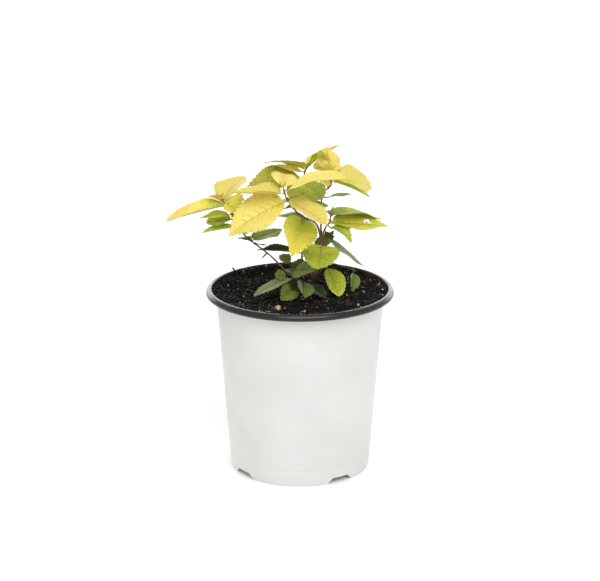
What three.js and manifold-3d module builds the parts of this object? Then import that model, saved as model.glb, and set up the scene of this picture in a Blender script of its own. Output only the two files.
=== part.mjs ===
import * as THREE from 'three';
import { mergeVertices } from 'three/addons/utils/BufferGeometryUtils.js';
import Module from 'manifold-3d';

const wasm = await Module();
wasm.setup();

// A young golden-leaved spirea in a quart nursery pot, in millimetres, +Z up.
// The origin is the middle of the flat foot under the pot, and the plant's front faces -Y.

// Pot: a thin tapering white wall, a flat foot in the middle and a foot ring with four drain notches.
const potTop = 115.7;
const potFoot = { ringOuter: 44.6, ringInner: 39.5, discRadius: 21, channelHeight: 4, draft: 1.5 };
const potFloor = { top: 5.2, corner: 1.5 };
const potWall = { radiusLow: 45.0, radiusHigh: 53.3, shoulderStart: 105, mouth: 55.2, thickness: 1.2 };
const notch = { count: 4, firstBearing: -54.5, wide: 21, narrow: 12, height: 3.9, start: 37.5, depth: 9 };
const drain = { ringRadius: 31, radius: 4, sides: 12 };
const roundSteps = { pot: 48, soil: 36 };

// Rim: the black rolled lip and the sleeve that lines the top of the wall.
const lip = { outer: 60.5, top: 120, under: 116, inner: 57, roundOver: 1.3 };
const sleeve = { bottom: 104, thickness: 0.8 };

// Potting mix, with a level spot under the stem and a low bank against the lip.
const soil = { level: 116.8, bank: 1.3, edgeRadius: 55.1, lumpHeight: 0.6, levelSpot: 5, edgeBand: 9 };

// Plant.
const trunkRadius = { foot: 1.6, tip: 0.85, flare: 1.2, flareHeight: 2.5, sides: 10, steps: 10 };
const trunkLine = [
  [6.2, 0, 117.1], [6.2, 0, 118.3], [8.5, 0, 124], [11.5, 0, 137], [13.5, 0, 149], [13.5, 0, 158],
];
const blade = {
  thickness: 0.5, endHalfWidth: 0.35, baseRound: 0.6, smallLength: 15, cells: 6, smallCells: 4,
};
const stalk = { radius: 0.42, sink: 1.5 };
const plainLeaf = { droop: 10, roll: 0, fold: 15, belly: 0.75, point: 0.95, stem: 2.5 };
const hiddenLeaf = { droop: 25, slenderness: 0.48, sizeChange: 0.12, bearingChange: 8, riseChange: 7 };
const clearance = 0.3;
const sliver = 0.02;

// Every shoot is one line from the trunk. Its first part is a bare bough, when bare is over 0, and
// the rest is the stem of a mass of leaves. A leaf grows at a fraction along the line, on a bearing
// in degrees from +X towards +Y and at a rise above level, on its own stem; droop arches it, roll
// turns it about its midrib, fold closes its halves, a smaller belly moves its widest place towards
// the base and a smaller point blunts its tip. The leaves behind are dealt out by a seeded rule.
const shoots = [
  {
    name: 'left',
    color: '#b9b040',
    line: [
      [6.5, -1, 118], [-4.5, -8, 129], [-19, -12, 145],
      [-36, -14, 160], [-43.5, -13, 174], [-50, -14, 183],
    ],
    bare: 0.5,
    radius: [0.66, 0.38],
    behind: { count: 3, from: 0.68, to: 0.9, bearing: 84, spread: 10, rise: 0, long: 28 },
    leaves: [
      {
        at: 0.94, bearing: 201, rise: -10, long: 39, wide: 19, droop: 7, roll: 7, fold: 38,
        belly: 0.65,
      },
      {
        at: 0.99, bearing: 53, rise: 22, long: 24, wide: 24, droop: 26, roll: 6, fold: 21,
        belly: 0.65,
      },
      {
        at: 0.98, bearing: 335, rise: -28, long: 11, wide: 22, droop: 38, roll: -32, fold: 40,
        belly: 1,
      },
      { at: 0.97, bearing: 205, rise: 24, long: 9, wide: 8, droop: 20, roll: -25, fold: 30 },
      { at: 0.86, bearing: 199, rise: -3, long: 19, wide: 9, droop: 16, roll: 14, belly: 0.6 },
      {
        at: 0.82, bearing: 162, rise: -11, long: 17, wide: 12, roll: 35, fold: 18, belly: 1,
        point: 0.6,
      },
      {
        at: 0.76, bearing: 189, rise: -8, long: 21, wide: 11, droop: 6, roll: 3, fold: 26,
        belly: 0.85,
      },
      { at: 0.62, bearing: 36, rise: 8, long: 22, wide: 18, droop: 5, fold: 5, point: 0.7 },
      { at: 0.62, bearing: 125, rise: -4, long: 10, wide: 9, fold: 10 },
      { at: 0.58, bearing: 60, rise: -19, long: 9, wide: 8, fold: 10 },
    ],
  },
  {
    name: 'front',
    color: '#dccb58',
    line: [[13.3, -1, 154], [10, -8, 165], [0, -20, 174], [-7.5, -27, 185], [-10.5, -30, 194]],
    bare: 0.36,
    radius: [0.72, 0.44],
    leaves: [
      { at: 0.84, bearing: 185, rise: -31, long: 41, wide: 32, droop: 26, roll: 30, fold: 14 },
      {
        at: 0.93, bearing: 174, rise: -1, long: 31, wide: 20, droop: 0, roll: 4, fold: 33,
        belly: 0.55,
      },
      { at: 1, bearing: 90, rise: 3, long: 28, wide: 19, droop: 15, roll: -14, fold: 25, belly: 0.6 },
      {
        at: 0.96, bearing: 342, rise: 17, long: 40, wide: 24, droop: 23, roll: -7, fold: 20,
        belly: 0.9,
      },
      {
        at: 0.85, bearing: 51, rise: 3, long: 34, wide: 22, droop: 0, roll: -27, fold: 5,
        belly: 0.9, point: 0.6,
      },
      { at: 0.7, bearing: 38, rise: -6, long: 26, wide: 14, roll: -15 },
      {
        at: 0.82, bearing: 313, rise: -14, long: 34, wide: 19, droop: 25, roll: -6, fold: 23,
        belly: 1.05,
      },
      {
        at: 0.5, bearing: 257, rise: -30, long: 32, wide: 25, droop: 0, roll: 27, fold: 27,
        belly: 0.7,
      },
    ],
  },
  {
    name: 'top',
    color: '#c9bd4e',
    line: [[13.5, 1, 150], [13.5, 6, 167], [14.5, 8, 180], [20, 10, 186], [17.5, 11, 194]],
    bare: 0.42,
    radius: [0.66, 0.42],
    behind: { count: 2, from: 0.76, to: 0.93, bearing: 92, spread: 14, rise: 4, long: 22 },
    leaves: [
      {
        at: 0.97, bearing: 90, rise: 41, long: 18, wide: 19, droop: 0, roll: -45, fold: 38,
        belly: 0.65, point: 0.7,
      },
      {
        at: 1, bearing: 238, rise: 36, long: 14, wide: 10, droop: 0, roll: -38, fold: 5,
        belly: 0.95, point: 0.6,
      },
      {
        at: 0.9, bearing: 25, rise: -17, long: 28, wide: 25, droop: 36, roll: -29, fold: 19,
        belly: 1, point: 0.6,
      },
      {
        at: 0.88, bearing: 335, rise: -17, long: 26, wide: 16, droop: 17, roll: 15, fold: 28,
        belly: 0.6,
      },
      { at: 0.6, bearing: 5, rise: 5, long: 14, wide: 9, droop: 3, fold: 10, belly: 1, stem: 5 },
    ],
  },
  {
    name: 'right',
    color: '#a9b445',
    line: [[13.5, -1, 152], [16, -5, 161], [19, -7, 166], [19.5, -6, 171]],
    bare: 0.3,
    radius: [0.58, 0.38],
    behind: { count: 1, from: 0.8, to: 0.8, bearing: 70, spread: 0, rise: -22, long: 30 },
    leaves: [
      { at: 0.72, bearing: 22, rise: -9, long: 39, wide: 20, droop: 5, roll: -20, fold: 18 },
      { at: 1, bearing: 32, rise: -14, long: 37, wide: 20, droop: 22, fold: 17, belly: 0.6 },
      {
        at: 0.62, bearing: 332, rise: -29, long: 17, wide: 13, droop: 40, roll: -6, fold: 40,
        belly: 0.95,
      },
      { at: 0.92, bearing: 75, rise: -3, long: 17, wide: 9, fold: 20 },
      { at: 0.42, bearing: 52, rise: -44, long: 9, wide: 7, droop: 0, fold: 5, belly: 0.95 },
    ],
  },
  {
    name: 'back',
    color: '#b5ac45',
    line: [
      [9, 1, 126], [1.5, 6, 137], [2.5, 9, 144], [5, 14, 158],
      [4, 18, 174], [2.5, 20, 188], [4.5, 21, 195],
    ],
    bare: 0.3,
    radius: [0.66, 0.42],
    behind: { count: 5, from: 0.52, to: 0.84, bearing: 106, spread: 28, rise: -6, long: 32 },
    leaves: [
      {
        at: 0.86, bearing: 201, rise: 1, long: 37, wide: 24, droop: 31, roll: 30, fold: 34,
        belly: 0.8,
      },
      { at: 0.66, bearing: 211, rise: 0, long: 15, wide: 8, fold: 20 },
      {
        at: 0.98, bearing: 218, rise: 15, long: 33, wide: 19, droop: 30, roll: -12, fold: 8,
        belly: 0.6,
      },
      { at: 1, bearing: 50, rise: 14, long: 32, wide: 15, droop: 5, roll: 15, fold: 28, belly: 0.6 },
      {
        at: 0.98, bearing: 21, rise: 44, long: 14, wide: 10, droop: 0, roll: 45, fold: 10,
        belly: 0.9,
      },
    ],
  },
  {
    name: 'centre',
    color: '#9fb04a',
    line: [[13.3, -1, 148], [14, -5, 151], [18, -6, 154]],
    bare: 0,
    radius: [0.52, 0.42],
    leaves: [
      {
        at: 0.35, bearing: 267, rise: -15, long: 27, wide: 25, droop: 8, roll: 3, fold: 16,
        belly: 0.8, point: 0.4,
      },
      { at: 1, bearing: 15, rise: -40, long: 28, wide: 13, droop: 3, roll: -13, fold: 5, belly: 0.6 },
    ],
  },
  {
    name: 'inner',
    color: '#4d6b2c',
    line: [[12.2, 1, 141], [4, 5, 141], [-5, 8, 142]],
    bare: 0,
    radius: [0.52, 0.38],
    behind: { count: 1, from: 0.25, to: 0.25, bearing: 62, spread: 0, rise: -6, long: 26 },
    leaves: [
      { at: 0.15, bearing: 44, rise: 37, long: 19, wide: 13, fold: 20 },
      { at: 0.9, bearing: 180, rise: 3, long: 22, wide: 13, droop: 5, roll: 7, fold: 28, belly: 0.6 },
    ],
  },
  {
    name: 'low_left',
    color: '#6f8c45',
    line: [[7.3, -1, 121], [2, -7, 126], [-3, -12, 131], [-5.5, -13, 138]],
    bare: 0,
    radius: [0.52, 0.38],
    leaves: [
      { at: 0.7, bearing: 210, rise: -16, long: 29, wide: 14, droop: 20, roll: -2, fold: 8, belly: 1 },
      {
        at: 0.45, bearing: 241, rise: -12, long: 25, wide: 12, droop: 0, roll: 45, fold: 17,
        belly: 1, point: 0.7,
      },
      {
        at: 0.38, bearing: 272, rise: -6, long: 25, wide: 15, droop: 0, roll: 24, fold: 40,
        belly: 1, point: 0.7,
      },
      { at: 1, bearing: 147, rise: 38, long: 8, wide: 11, roll: 5, belly: 1, point: 0.45 },
      {
        at: 0.8, bearing: 181, rise: -8, long: 7, wide: 8, droop: 20, roll: 45, fold: 20,
        belly: 1, point: 0.5, stem: 5,
      },
      {
        at: 0.9, bearing: 310, rise: 14, long: 22, wide: 13, droop: 0, roll: -40, fold: 5,
        belly: 0.55,
      },
      { at: 0.25, bearing: 311, rise: -15, long: 18, wide: 13, fold: 10 },
    ],
  },
  {
    name: 'low_front',
    color: '#5c7c33',
    line: [[9.3, -1, 127], [4.5, -3, 129], [-1.5, -2, 129]],
    bare: 0,
    radius: [0.52, 0.38],
    leaves: [
      { at: 0.85, bearing: 270, rise: 68, long: 11, wide: 12, fold: 10 },
      { at: 1, bearing: 141, rise: 13, long: 7, wide: 8, fold: 10, point: 0.45 },
    ],
  },
  {
    name: 'low_right',
    color: '#7f9c3a',
    line: [[9.8, 0.5, 127], [18.5, 2, 135], [27.5, 4, 133], [36, 6, 129]],
    bare: 0,
    radius: [0.5, 0.36],
    behind: { count: 1, from: 0.15, to: 0.15, bearing: 88, spread: 0, rise: 2, long: 20 },
    leaves: [
      {
        at: 0.33, bearing: 298, rise: -44, long: 21, wide: 16, droop: 20, roll: 1, fold: 28,
        belly: 0.95, point: 0.5,
      },
      {
        at: 0.95, bearing: 265, rise: -38, long: 14, wide: 10, droop: 20, roll: 35, fold: 40,
        belly: 0.9,
      },
    ],
  },
];

const radians = THREE.MathUtils.degToRad;
const up = new THREE.Vector3(0, 0, 1);

// A closed three.js geometry as a solid that can be cut and joined, and back again.
function solidOf(geometry) {
  const bare = geometry.clone();
  bare.deleteAttribute('normal');
  bare.deleteAttribute('uv');
  const merged = mergeVertices(bare, 1e-4);
  const solid = new wasm.Manifold(new wasm.Mesh({
    numProp: 3,
    vertProperties: new Float32Array(merged.attributes.position.array),
    triVerts: new Uint32Array(merged.index.array),
  }));
  return solid;
}

function geometryOf(solid) {
  const mesh = solid.getMesh();
  const geometry = new THREE.BufferGeometry();
  geometry.setAttribute('position', new THREE.BufferAttribute(mesh.vertProperties, 3));
  geometry.setIndex(new THREE.BufferAttribute(mesh.triVerts, 1));
  geometry.computeVertexNormals();
  return geometry;
}

function joined(solids) {
  return solids.reduce((whole, piece) => whole.add(piece));
}

// The largest separate body of a solid: loose scraps left by a cut are dropped.
function largest(solid) {
  return solid.decompose().reduce((best, piece) => (piece.volume() > best.volume() ? piece : best));
}

// Slivers that a join leaves are merged away, finer than any size here.
function tidied(solid) {
  return largest(solid.asOriginal().simplify(sliver));
}

// A closed or axis-to-axis profile of [radius, height] pairs, counter-clockwise, turned about +Z.
function turned(profile, segments) {
  const points = profile.map(([radius, height]) => new THREE.Vector2(radius, height));
  return new THREE.LatheGeometry(points, segments).rotateX(Math.PI / 2);
}

// A cylinder bent along a curve from one fraction of its length to another; radiusAt(fraction).
function limb(curve, radiusAt, from, to, sides, steps) {
  const geometry = new THREE.CylinderGeometry(1, 1, 1, sides, steps);
  const place = geometry.attributes.position;
  const around = new THREE.Vector3();
  const across = new THREE.Vector3();
  for (let i = 0; i < place.count; i += 1) {
    const fraction = THREE.MathUtils.lerp(from, to, place.getY(i) + 0.5);
    const tangent = curve.getTangentAt(fraction);
    const radius = radiusAt(fraction);
    across.set(0, 1, 0).cross(tangent).normalize();
    around.crossVectors(tangent, across);
    const point = curve.getPointAt(fraction);
    point.addScaledVector(across, place.getX(i) * radius);
    point.addScaledVector(around, -place.getZ(i) * radius);
    place.setXYZ(i, point.x, point.y, point.z);
  }
  return solidOf(geometry);
}

function curveThrough(points) {
  const places = points.map((point) => new THREE.Vector3(...point));
  return new THREE.CatmullRomCurve3(places, false, 'catmullrom');
}

function wallRadius(height) {
  const share = height / potWall.shoulderStart;
  return THREE.MathUtils.lerp(potWall.radiusLow, potWall.radiusHigh, share);
}

// The outer face of the wall above its shoulder, which flares to the mouth, as [radius, height].
function shoulder(inset) {
  const rise = potTop - potWall.shoulderStart;
  const flare = potWall.mouth - potWall.radiusHigh;
  return [0, 0.45, 0.8, 1].map((share) => [
    potWall.radiusHigh + flare * share ** 1.5 - inset,
    potWall.shoulderStart + rise * share,
  ]);
}

function makePot() {
  const { ringOuter, ringInner, discRadius, channelHeight, draft } = potFoot;
  const insideFloor = wallRadius(potFloor.top) - potWall.thickness;
  const body = turned([
    [0, 0], [discRadius, 0],
    [discRadius + draft, channelHeight], [ringInner - draft, channelHeight],
    [ringInner, 0], [ringOuter, 0],
    [wallRadius(potFloor.top), potFloor.top],
    ...shoulder(0),
    ...shoulder(potWall.thickness).reverse(),
    [insideFloor, potFloor.top + potFloor.corner],
    [insideFloor - potFloor.corner, potFloor.top],
    [0, potFloor.top],
  ], roundSteps.pot);
  let pot = solidOf(body);
  for (let i = 0; i < notch.count; i += 1) {
    const bearing = radians(notch.firstBearing + (360 / notch.count) * i);
    pot = pot.subtract(notchCutter(bearing)).subtract(drainCutter(bearing));
  }
  return pot;
}

// A drain notch: a low trapezium pushed through the foot ring along its bearing.
function notchCutter(bearing) {
  const outline = new THREE.Shape();
  outline.moveTo(-notch.wide / 2, -clearance);
  outline.lineTo(notch.wide / 2, -clearance);
  outline.lineTo(notch.narrow / 2, notch.height);
  outline.lineTo(-notch.narrow / 2, notch.height);
  outline.closePath();
  const cutter = new THREE.ExtrudeGeometry(outline, { depth: notch.depth, bevelEnabled: false });
  cutter.rotateX(Math.PI / 2).rotateZ(Math.PI / 2).translate(notch.start, 0, 0).rotateZ(bearing);
  return solidOf(cutter);
}

function drainCutter(bearing) {
  const cutter = new THREE.CylinderGeometry(drain.radius, drain.radius, potFloor.top * 2, drain.sides);
  cutter.rotateX(Math.PI / 2).translate(drain.ringRadius, 0, potFloor.top).rotateZ(bearing);
  return solidOf(cutter);
}

function makeRim() {
  const gap = potWall.thickness + clearance;
  const outside = shoulder(gap);
  const inside = shoulder(gap + sleeve.thickness).reverse();
  const lowRadius = wallRadius(sleeve.bottom) - gap;
  return solidOf(turned([
    [lowRadius - sleeve.thickness, sleeve.bottom], [lowRadius, sleeve.bottom],
    ...outside,
    [potWall.mouth, lip.under],
    [lip.outer - lip.roundOver, lip.under], [lip.outer, lip.under + lip.roundOver],
    [lip.outer, lip.top - lip.roundOver], [lip.outer - lip.roundOver, lip.top],
    [lip.inner + lip.roundOver, lip.top], [lip.inner, lip.top - lip.roundOver / 2],
    ...inside,
    [lowRadius - sleeve.thickness, sleeve.bottom],
  ], roundSteps.pot));
}

// Low lumps over the mix, level where the stem stands, and a bank round the edge.
function soilHeight(x, y) {
  const fromStem = Math.hypot(x - trunkLine[0][0], y - trunkLine[0][1]);
  const fromMiddle = Math.hypot(x, y);
  const inner = THREE.MathUtils.smoothstep(fromStem, soil.levelSpot, soil.levelSpot * 2.5);
  const flatFrom = soil.edgeRadius - soil.edgeBand;
  const outward = THREE.MathUtils.smoothstep(fromMiddle, flatFrom, soil.edgeRadius);
  const lumps = Math.sin(x * 0.21 + 1.3) * Math.cos(y * 0.17) + 0.6 * Math.sin(x * 0.37 - y * 0.33);
  return soil.level + soil.bank * outward + inner * (1 - outward) * soil.lumpHeight * lumps;
}

function makeSoil() {
  const gap = potWall.thickness + clearance;
  const inRim = gap + sleeve.thickness + clearance;
  const step = sleeve.bottom - clearance;
  const floor = potFloor.top + clearance;
  const rings = [51, 46, 38, 30, 22, 14, 7];
  const geometry = turned([
    [0, floor],
    [wallRadius(floor) - gap - potFloor.corner, floor],
    [wallRadius(floor) - gap, floor + potFloor.corner],
    [wallRadius(step) - gap, step - sleeve.thickness],
    [wallRadius(step) - inRim, step],
    ...shoulder(inRim),
    [potWall.mouth - inRim, potTop + clearance],
    [soil.edgeRadius, soil.level],
    ...rings.map((radius) => [radius, soil.level]),
    [0, soil.level],
  ], roundSteps.soil);
  const place = geometry.attributes.position;
  for (let i = 0; i < place.count; i += 1) {
    if (place.getZ(i) > soil.level - clearance) {
      place.setZ(i, soilHeight(place.getX(i), place.getY(i)));
    }
  }
  return solidOf(geometry);
}

// Width of a blade at a fraction of its length, as a share of its widest.
function outline(fraction, belly, point) {
  const bluntness = THREE.MathUtils.lerp(blade.baseRound, point, fraction);
  return Math.sin(Math.PI * fraction ** belly) ** bluntness;
}

// One leaf: its stalk from the stem's middle, and a folded, arched blade as a closed thin solid.
function leafSolid(curve, leaf, thickness) {
  const leafSizes = { ...plainLeaf, ...leaf };
  const { at, bearing, rise, long, wide, droop, roll, fold, belly, point: tip, stem } = leafSizes;
  const root = curve.getPointAt(at);
  const flat = Math.cos(radians(rise));
  const along = new THREE.Vector3(
    flat * Math.cos(radians(bearing)),
    flat * Math.sin(radians(bearing)),
    Math.sin(radians(rise)),
  );
  const level = new THREE.Vector3().crossVectors(along, up).normalize();
  const across = level.clone().applyAxisAngle(along, -radians(roll));
  const normal = new THREE.Vector3().crossVectors(across, along);
  const arch = long * Math.tan(radians(droop) / 4) * 2;
  const cells = long < blade.smallLength ? blade.smallCells : blade.cells;
  const geometry = new THREE.BoxGeometry(1, 2, 1, cells, 2, 1);
  const place = geometry.attributes.position;
  for (let i = 0; i < place.count; i += 1) {
    const fraction = place.getX(i) + 0.5;
    const edge = Math.abs(place.getY(i));
    const half = Math.max(blade.endHalfWidth, (wide / 2) * outline(fraction, belly, tip));
    const cup = half * Math.sin(radians(fold)) * (edge - 0.25 * edge * edge);
    const lift = arch * fraction * (1 - fraction) + cup + place.getZ(i) * thickness;
    const point = root.clone().addScaledVector(along, stem + long * fraction);
    point.addScaledVector(across, -place.getY(i) * half * Math.cos(radians(fold)));
    point.addScaledVector(normal, lift);
    place.setXYZ(i, point.x, point.y, point.z);
  }
  const reach = new THREE.LineCurve3(root, root.clone().addScaledVector(along, stem + stalk.sink));
  return solidOf(geometry).add(limb(reach, () => stalk.radius, 0, 1, 4, 1));
}

// Even numbers from -1 to 1 that come out the same on every run.
let seed = 11;
function random() {
  seed = (seed * 16807) % 2147483647;
  return (2 * seed) / 2147483647 - 1;
}

// The leaves on a shoot's hidden side: evenly spaced, on alternate sides of one bearing.
function leavesBehind({ behind }) {
  if (!behind) return [];
  const { count, from, to, bearing, spread, rise, long } = behind;
  return Array.from({ length: count }, (_, i) => {
    const size = long * (1 + hiddenLeaf.sizeChange * random());
    return {
      at: THREE.MathUtils.lerp(from, to, i / Math.max(1, count - 1)),
      bearing: bearing + (i % 2 ? -spread : spread) + hiddenLeaf.bearingChange * random(),
      rise: rise + hiddenLeaf.riseChange * random(),
      long: size,
      wide: size * hiddenLeaf.slenderness,
      droop: hiddenLeaf.droop,
    };
  });
}

const trunkCurve = curveThrough(trunkLine);

function trunkSolid(extra) {
  const { foot, tip, flare, flareHeight, sides, steps } = trunkRadius;
  const length = trunkCurve.getLength();
  const radiusAt = (fraction) => (
    THREE.MathUtils.lerp(foot, tip, fraction) + flare * Math.exp((-fraction * length) / flareHeight) + extra
  );
  return limb(trunkCurve, radiusAt, 0, 1, sides, steps);
}

// A shoot's bare bough and the stem of its mass share one tapering line, 0.3 mm apart.
function shootPart(shoot, curve, from, to, extra) {
  const [thick, thin] = shoot.radius;
  const radiusAt = (fraction) => THREE.MathUtils.lerp(thick, thin, fraction) + extra;
  const steps = Math.max(3, Math.round((to - from) * shoot.line.length * 2));
  return limb(curve, radiusAt, from, to, 6, steps);
}

function meshOf(name, solid, color, roughness) {
  const mesh = new THREE.Mesh(geometryOf(solid), new THREE.MeshStandardMaterial({ color, roughness }));
  mesh.name = name;
  return mesh;
}

function buildPlant(group) {
  const bark = '#7a4a34';
  group.add(meshOf('trunk', trunkSolid(0), bark, 0.8));
  const lines = shoots.map((shoot) => ({
    ...shoot,
    curve: curveThrough(shoot.line),
    leaves: [...shoot.leaves, ...leavesBehind(shoot)],
  }));
  let taken = trunkSolid(clearance);
  for (const shoot of lines.filter(({ bare }) => bare > 0)) {
    const bough = largest(shootPart(shoot, shoot.curve, 0, shoot.bare, 0).subtract(taken));
    group.add(meshOf(`${shoot.name}_bough`, bough, bark, 0.75));
    taken = taken.add(shootPart(shoot, shoot.curve, 0, shoot.bare, clearance));
  }
  for (const shoot of lines) {
    const { curve, bare } = shoot;
    const start = bare > 0 ? bare + clearance / curve.getLength() : 0;
    const stem = largest(shootPart(shoot, curve, start, 1, 0).subtract(taken));
    const leaves = shoot.leaves.filter((leaf) => {
      const swollen = leafSolid(curve, leaf, blade.thickness + 2 * clearance);
      return swollen.intersect(taken).isEmpty();
    });
    const mass = joined([stem, ...leaves.map((leaf) => leafSolid(curve, leaf, blade.thickness))]);
    group.add(meshOf(`${shoot.name}_foliage`, tidied(mass), shoot.color, 0.6));
    taken = taken.add(mass);
  }
}

const spirea = new THREE.Group();
spirea.add(meshOf('pot', makePot(), '#eceeea', 0.4));
spirea.add(meshOf('rim', makeRim(), '#3b3d40', 0.35));
spirea.add(meshOf('soil', makeSoil(), '#2a211b', 1));
buildPlant(spirea);

export default spirea;
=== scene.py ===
import math

import bpy
import numpy as np
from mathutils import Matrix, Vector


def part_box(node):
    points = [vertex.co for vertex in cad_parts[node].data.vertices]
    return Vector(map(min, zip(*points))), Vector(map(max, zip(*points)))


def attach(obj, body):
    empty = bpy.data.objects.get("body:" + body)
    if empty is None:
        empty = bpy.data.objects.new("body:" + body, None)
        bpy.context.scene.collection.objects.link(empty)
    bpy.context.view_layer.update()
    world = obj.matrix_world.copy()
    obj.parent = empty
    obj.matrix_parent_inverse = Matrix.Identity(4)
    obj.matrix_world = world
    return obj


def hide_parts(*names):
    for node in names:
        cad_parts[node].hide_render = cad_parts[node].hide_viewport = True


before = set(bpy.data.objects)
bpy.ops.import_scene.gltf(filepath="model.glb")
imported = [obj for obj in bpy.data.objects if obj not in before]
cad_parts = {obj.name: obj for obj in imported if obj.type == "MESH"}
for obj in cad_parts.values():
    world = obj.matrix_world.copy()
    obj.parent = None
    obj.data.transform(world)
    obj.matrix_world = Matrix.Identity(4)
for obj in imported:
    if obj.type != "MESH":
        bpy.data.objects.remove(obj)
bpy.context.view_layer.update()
scene = bpy.context.scene
mm = 0.001  # shapes are worked out in millimetres and made in metres
rng = np.random.default_rng(11)


def smoothStep(value, low, high):
    # 0 below low, 1 above high, 3s^2 - 2s^3 between
    share = np.clip((np.asarray(value, float) - low) / (high - low), 0, 1)
    return share * share * (3 - 2 * share)


def linearColour(red, green, blue):
    # screen values 0-255 to the linear light that shaders take
    share = np.array([red, green, blue]) / 255
    light = np.where(share <= 0.04045, share / 12.92, ((share + 0.055) / 1.055) ** 2.4)
    return (*light.tolist(), 1.0)


def gridFaces(rows, columns, wrapColumns=False, wrapRows=False):
    # quads between neighbouring rows and columns of a grid of points
    row = np.arange(rows if wrapRows else rows - 1)[:, None]
    column = np.arange(columns if wrapColumns else columns - 1)[None, :]
    nextRow = (row + 1) % rows
    nextColumn = (column + 1) % columns
    corners = [row * columns + column, row * columns + nextColumn,
               nextRow * columns + nextColumn, nextRow * columns + column]
    return np.stack(corners, -1).reshape(-1, 4)


def joinParts(parts):
    # several (points, faces, tone) as one list of points, faces and tones
    points, faces, tones, first = [], [], [], 0
    for partPoints, partFaces, tone in parts:
        points.append(partPoints)
        for block in partFaces:
            faces += (np.asarray(block) + first).tolist()
        tones.append(np.broadcast_to(tone, sum(len(block) for block in partFaces)))
        first += len(partPoints)
    return np.concatenate(points), faces, np.concatenate(tones)


def addPiece(name, parts, materials, replaced=(), sharpAngle=None):
    # parts joined as one smooth mesh in place, each face with the finish that its tone counts to;
    # edges sharper than the angle stay sharp
    points, faces, tones = joinParts(parts)
    mesh = bpy.data.meshes.new(name)
    mesh.from_pydata((points * mm).tolist(), [], faces)
    for material in materials:
        mesh.materials.append(material)
    mesh.polygons.foreach_set("material_index", tones.astype(np.int32))
    mesh.polygons.foreach_set("use_smooth", np.ones(len(faces), dtype=bool))
    if sharpAngle:
        mesh.set_sharp_from_angle(angle=math.radians(sharpAngle))
    mesh.update()
    piece = bpy.data.objects.new(name, mesh)
    scene.collection.objects.link(piece)
    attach(piece, "root")
    if replaced:
        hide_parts(*replaced)
    return piece


def revolve(profile, columns, closed=False):
    # (radius, height) pairs turned about the upright axis; an end on the axis becomes one pole
    profile = np.asarray(profile, float)
    startPole = not closed and profile[0, 0] == 0
    endPole = not closed and profile[-1, 0] == 0
    rows = profile[int(startPole):len(profile) - int(endPole)]
    turn = np.linspace(0, 2 * math.pi, columns, endpoint=False)
    points = np.empty((len(rows), columns, 3))
    points[..., 0] = rows[:, :1] * np.cos(turn)
    points[..., 1] = rows[:, :1] * np.sin(turn)
    points[..., 2] = rows[:, 1:]
    points = points.reshape(-1, 3)
    faces = [gridFaces(len(rows), columns, wrapColumns=True, wrapRows=closed)]
    ring = np.arange(columns)
    following = (ring + 1) % columns
    if startPole:
        faces.append(np.stack([np.full(columns, len(points)), following, ring], -1))
        points = np.vstack([points, [0, 0, profile[0, 1]]])
    if endPole:
        last = (len(rows) - 1) * columns
        faces.append(np.stack([ring + last, following + last, np.full(columns, len(points))], -1))
        points = np.vstack([points, [0, 0, profile[-1, 1]]])
    return points, faces


def tube(path, radius, sides, relief=None):
    # rings of a radius square to a path, with flat ends; relief adds a share of the radius at each point
    path = np.asarray(path, float)
    tangent = np.gradient(path, axis=0)
    tangent /= np.linalg.norm(tangent, axis=1, keepdims=True)
    across = np.cross([0.0, 1.0, 0.0], tangent)
    across /= np.maximum(np.linalg.norm(across, axis=1, keepdims=True), 1e-9)
    around = np.cross(tangent, across)
    turn = np.linspace(0, 2 * math.pi, sides, endpoint=False)
    reach = np.broadcast_to(np.asarray(radius, float), len(path))[:, None] * np.ones(sides)
    if relief is not None:
        reach = reach * (1 + relief)
    ring = across[:, None] * np.cos(turn)[:, None] + around[:, None] * np.sin(turn)[:, None]
    points = (path[:, None] + ring * reach[..., None]).reshape(-1, 3)
    last = (len(path) - 1) * sides
    caps = [np.arange(sides)[::-1][None, :], (np.arange(sides) + last)[None, :]]
    return points, [gridFaces(len(path), sides, wrapColumns=True), *caps]


def smoothPath(corners, count=161):
    # uniform Catmull-Rom curve through the corners, evenly spaced along its length
    corners = np.asarray(corners, float)
    knots = np.vstack([2 * corners[0] - corners[1], corners, 2 * corners[-1] - corners[-2]])
    spans = len(knots) - 3
    place = np.linspace(0, spans, 60 * spans + 1)
    span = np.minimum(place.astype(int), spans - 1)
    share = (place - span)[:, None]
    before, start, end, after = (knots[span + step] for step in range(4))
    dense = 0.5 * (2 * start + (end - before) * share
                   + (2 * before - 5 * start + 4 * end - after) * share ** 2
                   + (3 * start - before - 3 * end + after) * share ** 3)
    length = np.r_[0, np.cumsum(np.linalg.norm(np.diff(dense, axis=0), axis=1))]
    even = np.linspace(0, length[-1], count)
    return np.stack([np.interp(even, length, dense[:, axis]) for axis in range(3)], -1)


def alongPath(path, share):
    # the point at a share of an evenly spaced path
    place = np.clip(np.asarray(share, float), 0, 1) * (len(path) - 1)
    return np.stack([np.interp(place, np.arange(len(path)), path[:, axis]) for axis in range(3)], -1)


def latticeNoise(x, y, cell, seed):
    # random heights on a square lattice, blended smoothly between its corners, -1 to 1
    lattice = np.random.default_rng(seed).uniform(-1, 1, (257, 257))
    column, row = (x / cell + 1000) % 256, (y / cell + 1000) % 256
    left, low = column.astype(int), row.astype(int)
    across, up = smoothStep(column - left, 0, 1), smoothStep(row - low, 0, 1)
    lowSide = lattice[low, left] * (1 - across) + lattice[low, left + 1] * across
    highSide = lattice[low + 1, left] * (1 - across) + lattice[low + 1, left + 1] * across
    return lowSide * (1 - up) + highSide * up


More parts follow.
